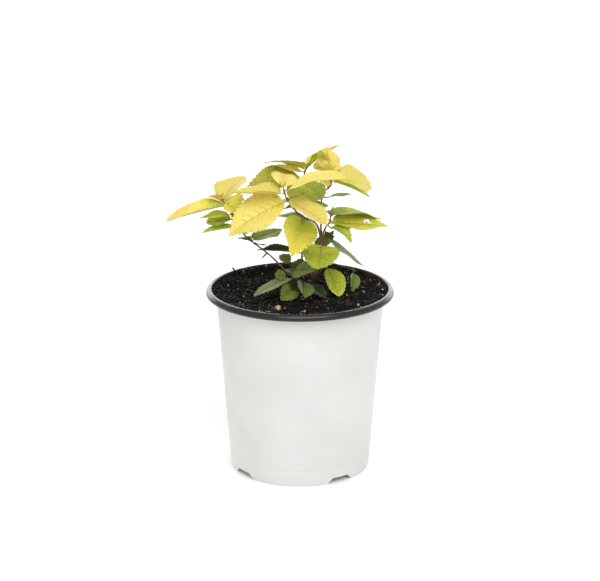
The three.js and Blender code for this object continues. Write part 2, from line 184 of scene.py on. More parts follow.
# the view and the lights: places and sizes in metres, the angle in degrees, powers in watts
viewpoint = {"place": (0.0, -1.460, 0.571), "lookDown": 17.24, "lens": 142.2, "sensorWidth": 36}
studio = {"skyStrength": 0.62, "floorReach": 6.0}
softboxes = {
    "keyLight": {"place": (0.2, -1.5, 1.75), "target": (0, 0, 0.12), "size": (2.0, 1.4), "power": 34.0},
    "backdropLight": {"place": (0, 2.4, 2.2), "target": (0, 2.0, 0), "size": (4.0, 2.0), "power": 13.0},
    "lowBackPanel": {"place": (0, 1.9, 0.56), "target": (0, 0, 0.12), "size": (4.2, 0.95), "power": 33.0},
}


def addCamera():
    data = bpy.data.cameras.new("viewCamera")
    data.sensor_fit = "HORIZONTAL"
    data.sensor_width = viewpoint["sensorWidth"]
    data.lens = viewpoint["lens"]
    data.clip_end = 50
    camera = bpy.data.objects.new("viewCamera", data)
    camera.location = viewpoint["place"]
    camera.rotation_euler = (math.radians(90 - viewpoint["lookDown"]), 0, 0)
    scene.collection.objects.link(camera)
    scene.camera = camera


def addSoftbox(name, place, target, size, power):
    # a rectangular lamp that faces its target
    data = bpy.data.lights.new(name, "AREA")
    data.shape = "RECTANGLE"
    data.size, data.size_y = size
    data.energy = power
    lamp = bpy.data.objects.new(name, data)
    lamp.location = place
    offset = np.subtract(target, place)
    flat = math.hypot(offset[0], offset[1])
    lamp.rotation_euler = (math.atan2(flat, -offset[2]), 0, math.atan2(offset[1], offset[0]) - math.pi / 2)
    scene.collection.objects.link(lamp)


def addStudio():
    world = bpy.data.worlds.new("studio")
    world.use_nodes = True
    backdrop = world.node_tree.nodes["Background"]
    backdrop.inputs["Color"].default_value = (1, 1, 1, 1)
    backdrop.inputs["Strength"].default_value = studio["skyStrength"]
    scene.world = world
    for name, softbox in softboxes.items():
        addSoftbox(name, **softbox)


def addFloor(material):
    mesh = bpy.data.meshes.new("studioFloor")
    reach = studio["floorReach"]
    corners = [(-reach, -reach, 0), (reach, -reach, 0), (reach, reach, 0), (-reach, reach, 0)]
    mesh.from_pydata(corners, [], [(0, 1, 2, 3)])
    mesh.materials.append(material)
    floor = bpy.data.objects.new("studioFloor", mesh)
    scene.collection.objects.link(floor)


def newGroup(name, inputs, outputs):
    # a shader node group with named inputs (label, kind, value) and outputs (label, kind)
    group = bpy.data.node_groups.new(name, "ShaderNodeTree")
    for label, kind, value in inputs:
        socket = group.interface.new_socket(label, in_out="INPUT", socket_type=kind)
        socket.default_value = value
    for label, kind in outputs:
        group.interface.new_socket(label, in_out="OUTPUT", socket_type=kind)
    return group, group.nodes.new("NodeGroupInput"), group.nodes.new("NodeGroupOutput")


def newNode(tree, kind, values=(), group=None, colours=False):
    # a node with some of its inputs set; group is what a group node holds, colours makes a mix take them
    node = tree.nodes.new(kind)
    if group:
        node.node_tree = group
    if colours:
        node.data_type = "RGBA"
    for label, value in values:
        node.inputs[label].default_value = value
    return node


def wire(tree, *wires):
    # each wire runs from an output of one node to an input of another
    for source, output, target, label in wires:
        tree.links.new(source.outputs[output], target.inputs[label])


def makeMottle():
    # two colours mixed by a soft noise over the piece
    group, given, result = newGroup(
        "mottle",
        [("Colour", "NodeSocketColor", (1, 1, 1, 1)), ("Patch Colour", "NodeSocketColor", (0, 0, 0, 1)),
         ("Scale", "NodeSocketFloat", 100.0), ("Low", "NodeSocketFloat", 0.4),
         ("High", "NodeSocketFloat", 0.7)],
        [("Colour", "NodeSocketColor"), ("Mask", "NodeSocketFloat")])
    place = newNode(group, "ShaderNodeTexCoord")
    noise = newNode(group, "ShaderNodeTexNoise", [("Detail", 4)])
    spread = newNode(group, "ShaderNodeMapRange")
    blend = newNode(group, "ShaderNodeMix", colours=True)
    wire(group,
         (place, "Object", noise, "Vector"),
         (given, "Scale", noise, "Scale"),
         (noise, "Fac", spread, "Value"),
         (given, "Low", spread, "From Min"),
         (given, "High", spread, "From Max"),
         (spread, "Result", blend, "Factor"),
         (given, "Colour", blend, "A"),
         (given, "Patch Colour", blend, "B"),
         (blend, "Result", result, "Colour"),
         (spread, "Result", result, "Mask"))
    return group


def makeGrainRelief():
    # a bump of fine noise; Depth is the height of the grain in metres
    group, given, result = newGroup(
        "grainRelief",
        [("Scale", "NodeSocketFloat", 1000.0), ("Depth", "NodeSocketFloat", 0.0001)],
        [("Normal", "NodeSocketVector")])
    place = newNode(group, "ShaderNodeTexCoord")
    noise = newNode(group, "ShaderNodeTexNoise", [("Detail", 3)])
    bump = newNode(group, "ShaderNodeBump", [("Strength", 1.0)])
    wire(group,
         (place, "Object", noise, "Vector"),
         (given, "Scale", noise, "Scale"),
         (given, "Depth", bump, "Distance"),
         (noise, "Fac", bump, "Height"),
         (bump, "Normal", result, "Normal"))
    return group


def makeNetRelief():
    # soft cushions between a net of fine creases; Mask is 1 in a crease, where a finish paints the crease
    # darker, partly with painted shade; Depth in metres
    group, given, result = newGroup(
        "netRelief",
        [("Scale", "NodeSocketFloat", 700.0), ("Depth", "NodeSocketFloat", 0.00012)],
        [("Normal", "NodeSocketVector"), ("Mask", "NodeSocketFloat")])
    place = newNode(group, "ShaderNodeTexCoord")
    cells = newNode(group, "ShaderNodeTexVoronoi")
    cells.feature = "DISTANCE_TO_EDGE"
    crease = newNode(group, "ShaderNodeMapRange", [("From Max", 0.18), ("To Min", 1.0), ("To Max", 0.0)])
    bump = newNode(group, "ShaderNodeBump", [("Strength", 1.0)])
    wire(group,
         (place, "Object", cells, "Vector"),
         (given, "Scale", cells, "Scale"),
         (cells, "Distance", crease, "Value"),
         (given, "Depth", bump, "Distance"),
         (cells, "Distance", bump, "Height"),
         (bump, "Normal", result, "Normal"),
         (crease, "Result", result, "Mask"))
    return group


mottle = makeMottle()
grainRelief = makeGrainRelief()
netRelief = makeNetRelief()


def newFinish(name, colour, patch, roughness, specular=0.5, mottleScale=120.0, spread=(0.4, 0.7),
              grainScale=1500.0, grainDepth=0.00005, roughPatch=0.0, creaseScale=0.0, creaseShade=0.9):
    # a mottled colour under a fine grain, or over a net of creases painted darker, partly their own colour
    # and partly painted shade
    material = bpy.data.materials.new(name)
    material.use_nodes = True
    tree = material.node_tree
    shader = tree.nodes["Principled BSDF"]
    shader.inputs["Roughness"].default_value = roughness
    shader.inputs["Specular IOR Level"].default_value = specular
    patches = newNode(tree, "ShaderNodeGroup", [
        ("Colour", linearColour(*colour)), ("Patch Colour", linearColour(*patch)),
        ("Scale", mottleScale), ("Low", spread[0]), ("High", spread[1])], group=mottle)
    wire(tree, (patches, "Colour", shader, "Base Color"))
    if roughPatch:
        vary = newNode(tree, "ShaderNodeMapRange",
                       [("To Min", roughness), ("To Max", roughness + roughPatch)])
        wire(tree, (patches, "Mask", vary, "Value"), (vary, "Result", shader, "Roughness"))
    if creaseScale:
        net = newNode(tree, "ShaderNodeGroup", [("Scale", creaseScale)], group=netRelief)
        # the creases' colour is the patch colour darkened: partly the fine veins' own colour, partly painted
        # shade
        veinAndShadeColour = linearColour(*(creaseShade * part for part in patch))
        shade = newNode(tree, "ShaderNodeMix", [("B", veinAndShadeColour)], colours=True)
        wire(tree,
             (patches, "Colour", shade, "A"),
             (net, "Mask", shade, "Factor"),
             (shade, "Result", shader, "Base Color"),
             (net, "Normal", shader, "Normal"))
    else:
        grain = newNode(tree, "ShaderNodeGroup", [("Scale", grainScale), ("Depth", grainDepth)],
                        group=grainRelief)
        wire(tree, (grain, "Normal", shader, "Normal"))
    return material


scene.view_settings.view_transform = "Standard"
addCamera()
addStudio()
addFloor(newFinish("floorPaint", (253, 252, 250), (250, 249, 247), 0.9, specular=0.1,
                   mottleScale=3.0, grainScale=200.0, grainDepth=0.00002))
print("camera, light and floor")


pot = {
    "wallLow": 45.0, "wallHigh": 53.3, "shoulderStart": 105.0, "mouth": 55.2, "thickness": 1.2,
    "ringOuter": 44.6, "ringInner": 39.5, "discRadius": 21.0, "channel": 4.0, "draft": 1.5,
    "floorTop": 5.2, "corner": 1.5, "footEdge": 0.7, "columns": 144,
    "mouldLines": (10.5, 99.0), "lineDepth": 0.14, "lineWidth": 0.5,
    "notchCount": 4, "notchFirst": -54.5, "notchWide": 21.0, "notchNarrow": 12.0, "notchHeight": 3.9,
    "notchStart": 37.5, "notchDepth": 9.0, "drainRing": 31.0, "drainRadius": 4.0, "drainSides": 24,
    "cutBelow": 1.0, "cutAbove": 4.0,
}
pot["top"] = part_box("pot")[1][2] / mm


def wallRadius(height):
    # straight taper, plus a slow flare above the shoulder
    taper = pot["wallLow"] + (pot["wallHigh"] - pot["wallLow"]) * height / pot["shoulderStart"]
    share = np.clip((height - pot["shoulderStart"]) / (pot["top"] - pot["shoulderStart"]), 0, 1)
    flare = pot["wallHigh"] + (pot["mouth"] - pot["wallHigh"]) * share ** 1.5
    return np.where(height > pot["shoulderStart"], flare, taper)


def wallProfile():
    # the outer face from the foot up, with a shallow groove at each mould line
    heights = np.unique(np.concatenate([
        np.linspace(4, pot["top"], 60),
        *[line + np.linspace(-1, 1, 9) * pot["lineWidth"] * 1.5 for line in pot["mouldLines"]]]))
    radius = wallRadius(heights)
    for line in pot["mouldLines"]:
        radius = radius - pot["lineDepth"] * np.exp(-((heights - line) / pot["lineWidth"]) ** 2)
    return np.stack([radius, heights], -1)


def arc(centre, radius, start, end, steps, stretch=1.0):
    # points round a centre from one angle to another, in degrees; stretch makes it taller
    turn = np.radians(np.linspace(start, end, steps))
    return np.stack([centre[0] + radius * np.cos(turn), centre[1] + stretch * radius * np.sin(turn)], -1)


def potBody():
    # foot disc, channel, foot ring, outer wall, inner wall and floor as one profile turned round
    floorRadius = float(wallRadius(np.array(pot["floorTop"]))) - pot["thickness"]
    edge, draft = pot["footEdge"], pot["draft"]
    inside = wallProfile()[::-1] - [pot["thickness"], 0]
    inside = inside[inside[:, 1] > pot["floorTop"] + pot["corner"]]
    profile = np.vstack([
        [[0, 0], [pot["discRadius"], 0], [pot["discRadius"] + draft, pot["channel"]],
         [pot["ringInner"] - draft, pot["channel"]], [pot["ringInner"], 0]],
        arc((pot["ringOuter"] - edge, edge), edge, -90, 0, 5),
        wallProfile(), inside,
        arc((floorRadius - pot["corner"], pot["floorTop"] + pot["corner"]), pot["corner"], 0, -90, 5),
        [[0, pot["floorTop"]]]])
    return revolve(profile, pot["columns"])


def notchCutter():
    # a trapezium across, wide end down, pushed outward along +X through the foot ring
    wide, narrow = pot["notchWide"] / 2, pot["notchNarrow"] / 2
    corners = [(-wide, -pot["cutBelow"]), (wide, -pot["cutBelow"]),
               (narrow, pot["notchHeight"]), (-narrow, pot["notchHeight"])]
    start, end = pot["notchStart"], pot["notchStart"] + pot["notchDepth"]
    points = [(outward, across, height) for outward in (start, end) for across, height in corners]
    return np.array(points), [[3, 2, 1, 0], [4, 5, 6, 7], *gridFaces(2, 4, wrapColumns=True).tolist()]


def drainCutter():
    # an upright cylinder through the floor, from under the foot to well above it
    sides = pot["drainSides"]
    turn = np.linspace(0, 2 * math.pi, sides, endpoint=False)
    ring = np.stack([pot["drainRing"] + pot["drainRadius"] * np.cos(turn),
                     pot["drainRadius"] * np.sin(turn), np.full(sides, -pot["cutBelow"])], -1)
    points = np.vstack([ring, ring + [0, 0, pot["floorTop"] + pot["cutAbove"]]])
    walls = gridFaces(2, sides, wrapColumns=True).tolist()
    return points, [*walls, list(range(sides))[::-1], list(range(sides, 2 * sides))]


def turned(points, bearing):
    # points turned about the upright axis by a bearing in degrees
    c, s = math.cos(math.radians(bearing)), math.sin(math.radians(bearing))
    return points @ np.array([[c, s, 0], [-s, c, 0], [0, 0, 1]])


def addPot(material):
    # the turned body, less its notches and drain holes, which one cutter takes out
    points, faces = potBody()
    piece = addPiece("potWall", [(points, faces, 0)], [material], ["pot"])
    cuts = []
    for step in range(pot["notchCount"]):
        bearing = pot["notchFirst"] + step * 360 / pot["notchCount"]
        for cutPoints, cutFaces in (notchCutter(), drainCutter()):
            cuts.append((turned(cutPoints, bearing), [[face] for face in cutFaces], 0))
    cutPoints, cutFaces, _ = joinParts(cuts)
    cutMesh = bpy.data.meshes.new("cutter")
    cutMesh.from_pydata((cutPoints * mm).tolist(), [], cutFaces)
    cutter = bpy.data.objects.new("cutter", cutMesh)
    scene.collection.objects.link(cutter)
    modifier = piece.modifiers.new("notches", "BOOLEAN")
    modifier.operation = "DIFFERENCE"
    modifier.solver = "EXACT"
    modifier.object = cutter
    bpy.context.view_layer.update()
    finished = bpy.data.meshes.new_from_object(piece.evaluated_get(bpy.context.evaluated_depsgraph_get()))
    uncut = piece.data
    piece.modifiers.clear()
    piece.data = finished
    bpy.data.objects.remove(cutter)
    bpy.data.meshes.remove(cutMesh)
    bpy.data.meshes.remove(uncut)
    finished.materials.clear()
    finished.materials.append(material)
    finished.polygons.foreach_set("use_smooth", np.ones(len(finished.polygons), dtype=bool))
    finished.set_sharp_from_angle(angle=math.radians(30))


potPlastic = newFinish("whitePotPlastic", (216, 217, 215), (209, 210, 208), 0.36, mottleScale=28.0,
                       grainScale=420.0, grainDepth=0.00006, roughPatch=0.12)
addPot(potPlastic)
print("pot")


rim = {"outer": 60.5, "top": 120.0, "under": 116.0, "inner": 57.0, "crownHalf": 2.4, "crownHeight": 3.0,
       "underRound": 1.0, "innerRound": 0.7, "sleeveBottom": 104.0, "sleeve": 0.8, "gap": 0.3,
       "columns": 192}


def addRim(outer, inner):
    # the sleeve that lines the wall's top and the lip rolled over it, as one closed profile turned round
    gap = pot["thickness"] + rim["gap"]
    heights = np.linspace(rim["sleeveBottom"], pot["top"], 14)
    outside = np.stack([wallRadius(heights) - gap, heights], -1)
    inside = (outside - [rim["sleeve"], 0])[::-1]
    profile = np.vstack([
        outside,
        [[pot["mouth"], rim["under"]]],
        arc((rim["outer"] - rim["underRound"], rim["under"] + rim["underRound"]), rim["underRound"],
            -90, 0, 6),
        arc((rim["outer"] - rim["crownHalf"], rim["top"] - rim["crownHeight"]), rim["crownHalf"], 0, 90, 14,
            stretch=rim["crownHeight"] / rim["crownHalf"]),
        arc((rim["inner"] + rim["innerRound"], rim["top"] - rim["innerRound"]), rim["innerRound"],
            90, 170, 8)[1:],
        inside])
    points, faces = revolve(profile, rim["columns"], closed=True)
    # the sleeve, inside and out, has the dusty finish
    firstInner = len(profile) - len(inside) - 1
    band = np.repeat(np.arange(len(profile)), rim["columns"])
    kinds = ((band >= firstInner) | (band < len(outside) - 1)).astype(int)
    addPiece("rolledRim", [(points, faces, kinds)], [outer, inner], ["rim"], sharpAngle=50)


rimPlastic = newFinish("blackRimPlastic", (22, 22, 24), (34, 34, 36), 0.27, mottleScale=160.0,
                       spread=(0.52, 0.78), grainScale=900.0, grainDepth=0.00003, roughPatch=0.16)
rimDusty = newFinish("dustyRimPlastic", (20, 20, 21), (33, 31, 29), 0.75, specular=0.12, mottleScale=220.0,
                     grainScale=1200.0, grainDepth=0.00006)
addRim(rimPlastic, rimDusty)
print("rim")


mix = {
    "level": 116.8, "bank": 2.4, "edgeRadius": 56.4, "edgeBand": 10.0, "backBank": 0.3,
    "stem": (6.2, 0.0), "stemClear": 3.2, "rings": 120, "columns": 300,
    # sizes of bump: height, width of a cell and seed
    "slow": [(0.6, 14, 1), (0.5, 6.5, 2)], "fine": [(0.42, 2.6, 3), (0.3, 1.3, 4)],
}


def mixHeight(x, y):
    # slow lumps and two sizes of crumb, with a bank against the lip that is higher along the back
    fromStem = np.hypot(x - mix["stem"][0], y - mix["stem"][1])
    fromMiddle = np.hypot(x, y)
    outward = smoothStep(fromMiddle, mix["edgeRadius"] - mix["edgeBand"], mix["edgeRadius"])
    edge = 1 - outward
    slow = sum(height * latticeNoise(x, y, cell, seed) for height, cell, seed in mix["slow"])
    fine = sum(height * latticeNoise(x, y, cell, seed) for height, cell, seed in mix["fine"])
    bank = mix["bank"] * outward + mix["backBank"] * smoothStep(fromMiddle, 40, 52) * smoothStep(y, 0, 40)
    return mix["level"] + bank + edge * slow * smoothStep(fromStem, 3, 9) + (0.25 + 0.75 * edge) * fine


def mixSurface():
    # a body that fills the pot and the sleeve with a gap round it, its top lifted to mixHeight
    gap = pot["thickness"] + rim["gap"]
    inRim = gap + rim["sleeve"] + rim["gap"]
    floor = pot["floorTop"] + rim["gap"]
    step = rim["sleeveBottom"] - rim["gap"]
    sideHeights = np.linspace(floor + pot["corner"], step - rim["sleeve"], 6)
    rimHeights = np.linspace(step, pot["top"], 5)
    top = np.linspace(mix["edgeRadius"], 0, mix["rings"])
    profile = np.vstack([
        [[0, floor], [float(wallRadius(np.array(floor))) - gap - pot["corner"], floor]],
        np.stack([wallRadius(sideHeights) - gap, sideHeights], -1),
        np.stack([wallRadius(rimHeights) - inRim, rimHeights], -1),
        [[pot["mouth"] - inRim, pot["top"] + rim["gap"]]],
        np.stack([top, np.full(len(top), mix["level"])], -1)])
    points, faces = revolve(profile, mix["columns"])
    upper = points[:, 2] > pot["top"] + 2 * rim["gap"]
    points[upper, 2] = mixHeight(points[upper, 0], points[upper, 1])
    return points, faces


def scatterPlaces(count, reach):
    # even random places on a disc, clear of the stem
    radius = reach * np.sqrt(rng.uniform(0, 1, count * 2))
    turn = rng.uniform(0, 2 * math.pi, count * 2)
    x, y = radius * np.cos(turn), radius * np.sin(turn)
    clear = np.hypot(x - mix["stem"][0], y - mix["stem"][1]) > mix["stemClear"]
    return np.stack([x[clear], y[clear]], -1)[:count]


def randomTurns(count):
    # even random rotations, from four normal numbers each
    quat = rng.normal(size=(count, 4))
    w, x, y, z = (quat / np.linalg.norm(quat, axis=1, keepdims=True)).T
    return np.stack([
        np.stack([1 - 2 * (y * y + z * z), 2 * (x * y - z * w), 2 * (x * z + y * w)], -1),
        np.stack([2 * (x * y + z * w), 1 - 2 * (x * x + z * z), 2 * (y * z - x * w)], -1),
        np.stack([2 * (x * z - y * w), 2 * (y * z + x * w), 1 - 2 * (x * x + y * y)], -1)], 1)


gem = {"sides": 20, "stretch": (0.7, 1.2), "dents": 0.25, "squash": 0.6}


def gems(places, sizes, flatness=(1.0, 1.0, 1.0), sink=0.25):
    # twenty-sided crumbs, each stretched, dented and turned at random, sunk a little in the mix
    golden = (1 + math.sqrt(5)) / 2
    corners = np.array([(-1, golden, 0), (1, golden, 0), (-1, -golden, 0), (1, -golden, 0),
                        (0, -1, golden), (0, 1, golden), (0, -1, -golden), (0, 1, -golden),
                        (golden, 0, -1), (golden, 0, 1), (-golden, 0, -1), (-golden, 0, 1)])
    corners /= np.linalg.norm(corners[0])
    sides = np.array([(0, 11, 5), (0, 5, 1), (0, 1, 7), (0, 7, 10), (0, 10, 11), (1, 5, 9), (5, 11, 4),
                      (11, 10, 2), (10, 7, 6), (7, 1, 8), (3, 9, 4), (3, 4, 2), (3, 2, 6), (3, 6, 8),
                      (3, 8, 9), (4, 9, 5), (2, 4, 11), (6, 2, 10), (8, 6, 7), (9, 8, 1)])
    count = len(places)
    shapes = corners * np.array(flatness) * rng.uniform(*gem["stretch"], (count, 1, 3))
    shapes = shapes * (1 + gem["dents"] * rng.uniform(-1, 1, (count, len(corners), 1)))
    shapes = np.einsum("nij,nkj->nki", randomTurns(count), shapes) * (sizes[:, None, None] / 2)
    ground = mixHeight(places[:, 0], places[:, 1]) + sizes * (0.5 - sink) * gem["squash"]
    points = shapes + np.concatenate([places, ground[:, None]], 1)[:, None]
    faces = (sides[None] + len(corners) * np.arange(count)[:, None, None]).reshape(-1, 3)
    return points.reshape(-1, 3), [faces]


chip = {"count": 170, "reach": 54.2, "length": (1.6, 4.6), "width": (0.8, 2.2), "thickness": 0.5,
        "sides": 6, "outline": (0.75, 1.1), "tilt": 0.25, "lift": 0.2, "toneShares": [0.6, 0.28, 0.12]}


def chipSlabs(places, lengths, widths):
    # six-sided slabs of uneven outline that lie nearly flat
    count, sides = len(places), chip["sides"]
    turn = np.linspace(0, 2 * math.pi, sides, endpoint=False)
    outline = np.stack([np.cos(turn), np.sin(turn)], -1) * rng.uniform(*chip["outline"], (count, sides, 1))
    outline *= np.stack([lengths, widths], -1)[:, None] / 2
    flat = np.concatenate([outline, np.zeros((count, sides, 1))], -1)
    slab = np.concatenate([flat, flat + [0, 0, chip["thickness"]]], 1)
    yaw = rng.uniform(0, 2 * math.pi, count)
    lean = rng.normal(0, chip["tilt"], (count, 2))
    c, s = np.cos(yaw), np.sin(yaw)
    slab[..., 2] += slab[..., 0] * lean[:, :1] + slab[..., 1] * lean[:, 1:]
    x = slab[..., 0] * c[:, None] - slab[..., 1] * s[:, None] + places[:, :1]
    y = slab[..., 0] * s[:, None] + slab[..., 1] * c[:, None] + places[:, 1:]
    z = slab[..., 2] + mixHeight(places[:, 0], places[:, 1])[:, None] + chip["lift"]
    points = np.stack([x, y, z], -1).reshape(-1, 3)
    first = 2 * sides * np.arange(count)[:, None]
    bottom = first + np.arange(sides)[::-1]
    top = first + np.arange(sides, 2 * sides)
    side = gridFaces(2, sides, wrapColumns=True)[None] + first[:, None]
    return points, [bottom, top, side.reshape(-1, 4)]


fibre = {"count": 230, "reach": 54.0, "length": (3.0, 11.0), "bend": 0.9, "lift": (0.2, 0.9), "slope": 0.25,
         "radius": (0.07, 0.17), "strawShare": 0.6}
twiglet = {"line": [(-41.9, 36.0, 118.6), (-43.2, 35.6, 120.9), (-44.4, 35.2, 122.6)], "radius": 0.55}


def fibres():
    # fine roots and twigs, each a thin bent tube that lies on the mix
    parts = []
    reach = fibre["reach"]
    for x, y in scatterPlaces(fibre["count"], reach):
        length = rng.uniform(*fibre["length"])
        heading = rng.uniform(0, 2 * math.pi)
        bend = rng.normal(0, fibre["bend"])
        share = np.linspace(-0.5, 0.5, 7)
        way = heading + bend * share
        line = np.stack([x + np.cos(way) * length * share, y + np.sin(way) * length * share], -1)
        line *= np.minimum(1, (reach + 0.5) / np.maximum(np.hypot(*line.T), 1e-6))[:, None]
        lift = rng.uniform(*fibre["lift"])
        lift = lift + rng.uniform(0, fibre["slope"]) * length * share * rng.choice([-1, 1])
        path = np.concatenate([line, (mixHeight(line[:, 0], line[:, 1]) + lift)[:, None]], 1)
        radius = rng.uniform(*fibre["radius"])
        parts.append((*tube(path, radius, 4), 0 if rng.uniform() < fibre["strawShare"] else 1))
    return parts


mixEarth = newFinish("pottingMix", (12, 11, 10), (22, 19, 16), 0.95, specular=0.12, mottleScale=420.0,
                     grainScale=1400.0, grainDepth=0.0003)
crumbDark = newFinish("darkCrumb", (14, 13, 12), (24, 21, 18), 0.85, specular=0.2, mottleScale=600.0,
                      grainScale=2200.0, grainDepth=0.0002)
crumbBrown = newFinish("brownCrumb", (48, 42, 35), (31, 28, 24), 0.9, specular=0.15, mottleScale=500.0,
                       grainScale=2000.0, grainDepth=0.0002)
crumbRed = newFinish("redBark", (84, 56, 46), (56, 39, 33), 0.85, specular=0.2, mottleScale=500.0,
                     grainScale=1800.0, grainDepth=0.0002)
perliteWhite = newFinish("perlite", (206, 203, 194), (160, 152, 140), 0.8, specular=0.3, mottleScale=700.0,
                         grainScale=2600.0, grainDepth=0.0002)
chipCream = newFinish("creamChip", (214, 186, 138), (176, 136, 92), 0.75, specular=0.25, mottleScale=520.0,
                      grainScale=1800.0, grainDepth=0.0002)
chipPlum = newFinish("plumChip", (92, 42, 58), (60, 32, 40), 0.8, specular=0.25, mottleScale=520.0,
                     grainScale=1800.0, grainDepth=0.0002)
fibreStraw = newFinish("strawFibre", (98, 95, 84), (62, 60, 52), 0.8, specular=0.2, mottleScale=500.0)

points, faces = mixSurface()
addPiece("mixSurface", [(points, faces, 0)], [mixEarth], ["soil"])

crumb = {"count": 4000, "reach": 55.9, "smallest": 0.7, "range": 1.5, "power": 2.5, "sink": 0.25,
         "toneShares": [0.88, 0.12]}
perlite = {"count": 340, "reach": 55.5, "smallest": 0.35, "range": 1.2, "power": 3, "sink": 0.0}


def scatteredGems(rule):
    # a size is the smallest plus a range times a random share to a power, so that most are small
    places = scatterPlaces(rule["count"], rule["reach"])
    sizes = rule["smallest"] + rule["range"] * rng.uniform(0, 1, len(places)) ** rule["power"]
    return gems(places, sizes, sink=rule["sink"])


def addCrumbs(materials):
    points, faces = scatteredGems(crumb)
    kinds = rng.choice([0, 1], len(faces[0]) // gem["sides"], p=crumb["toneShares"])
    kinds = np.repeat(kinds, gem["sides"])
    addPiece("mixCrumbs", [(points, faces, kinds)], materials, sharpAngle=30)


def addPerlite(material):
    points, faces = scatteredGems(perlite)
    addPiece("perliteGrains", [(points, faces, 0)], [material], sharpAngle=30)


def addChips(materials):
    places = scatterPlaces(chip["count"], chip["reach"])
    lengths = rng.uniform(*chip["length"], len(places))
    widths = rng.uniform(*chip["width"], len(places))
    points, faces = chipSlabs(places, lengths, widths)
    kinds = rng.choice([0, 1, 2], len(places), p=chip["toneShares"])
    kinds = np.concatenate([kinds, kinds, np.repeat(kinds, chip["sides"])])
    addPiece("barkChips", [(points, faces, kinds)], materials, sharpAngle=30)


# the few larger lumps that can be told apart: x, y, size and finish
lumps = [
    (-37.5, 33.0, 5.0, "brown"), (-35.5, 30.0, 3.4, "red"), (-39.5, 36.0, 4.2, "brown"),
    (50.5, 7, 4.6, "red"), (29.9, -23.3, 3.8, "red"), (32.5, -25, 2.6, "red"),
    (-14.5, -36.5, 4.4, "cream"), (-17.2, -38.4, 3.2, "plum"), (-12.0, -38.0, 2.2, "cream"),
    (-20.0, -35.6, 2.4, "plum"), (3.0, -42.0, 2.4, "cream"), (44, -12, 3.0, "brown"),
    (-30, -14, 2.6, "brown"), (51.6, 5.2, 2.6, "red"), (53.0, 2.2, 2.1, "red"),
    (50.0, 9.2, 2.4, "red"), (53.8, -1.5, 1.8, "brown"),
]


def addLumps(finishes):
    places = np.array([[x, y] for x, y, _, _ in lumps], float)
    sizes = np.array([size for _, _, size, _ in lumps])
    points, faces = gems(places, sizes, flatness=(1.2, 0.8, 0.7))
    kinds = np.repeat([list(finishes).index(kind) for _, _, _, kind in lumps], gem["sides"])
    addPiece("mixLumps", [(points, faces, kinds)], list(finishes.values()), sharpAngle=30)


addCrumbs([crumbDark, crumbBrown])
addPerlite(perliteWhite)
addChips([crumbDark, crumbBrown, crumbRed])
addLumps({"dark": crumbDark, "brown": crumbBrown, "red": crumbRed, "cream": chipCream, "plum": chipPlum})
stick = tube(smoothPath(twiglet["line"], 9), twiglet["radius"] * np.linspace(0.8, 1.1, 9), 7)
addPiece("mixFibres", [*fibres(), (*stick, 2)], [fibreStraw, crumbBrown, crumbDark])
print("potting mix")


# the darker bark on the trunk's foot, up to a share of its length, is painted shade under the leaves
trunk = {"line": [(6.2, 0, 117.1), (6.2, 0, 118.3), (8.5, 0, 124), (11.5, 0, 137), (13.5, 0, 149),
                  (13.5, 0, 158)],
         "foot": 1.6, "tip": 0.85, "flare": 1.2, "flareHeight": 2.5, "sides": 28, "paintedShadeTo": 0.3}
limb = {"ringsPerMm": 2.4, "furrow": 0.09, "lump": 0.06, "boughSides": 16, "boughRelief": 0.7,
        "twigSides": 12, "twigRelief": 0.4, "overlap": 0.005, "bandEdge": 0.03}
stub = {"at": 0.47, "reach": (-3.0, -1.5, -3.0), "radius": 0.6}  # a broken stalk on the left shoot


def leaf(at, bearing, rise, long, wide, tone, droop=10, roll=0, fold=15, belly=0.75, point=0.95,
         stem=2.5, quilt=1.0, toothed=1.0, **more):
    # at: share along the shoot; bearing from +X towards +Y and rise above level, in degrees; quilt and
    # toothed: strength of the cushions between veins and of the teeth. More can be shades (a share of
    # the length and the tone from there on), holes (shares along and across, then half sizes), a
    # crumple in millimetres, the ribs' own tone, and smooth for a blade without side veins
    return {"at": at, "bearing": bearing, "rise": rise, "long": long, "wide": wide, "tone": tone,
            "droop": droop, "roll": roll, "fold": fold, "belly": belly, "point": point, "stem": stem,
            "quilt": quilt, "toothed": toothed, **more}


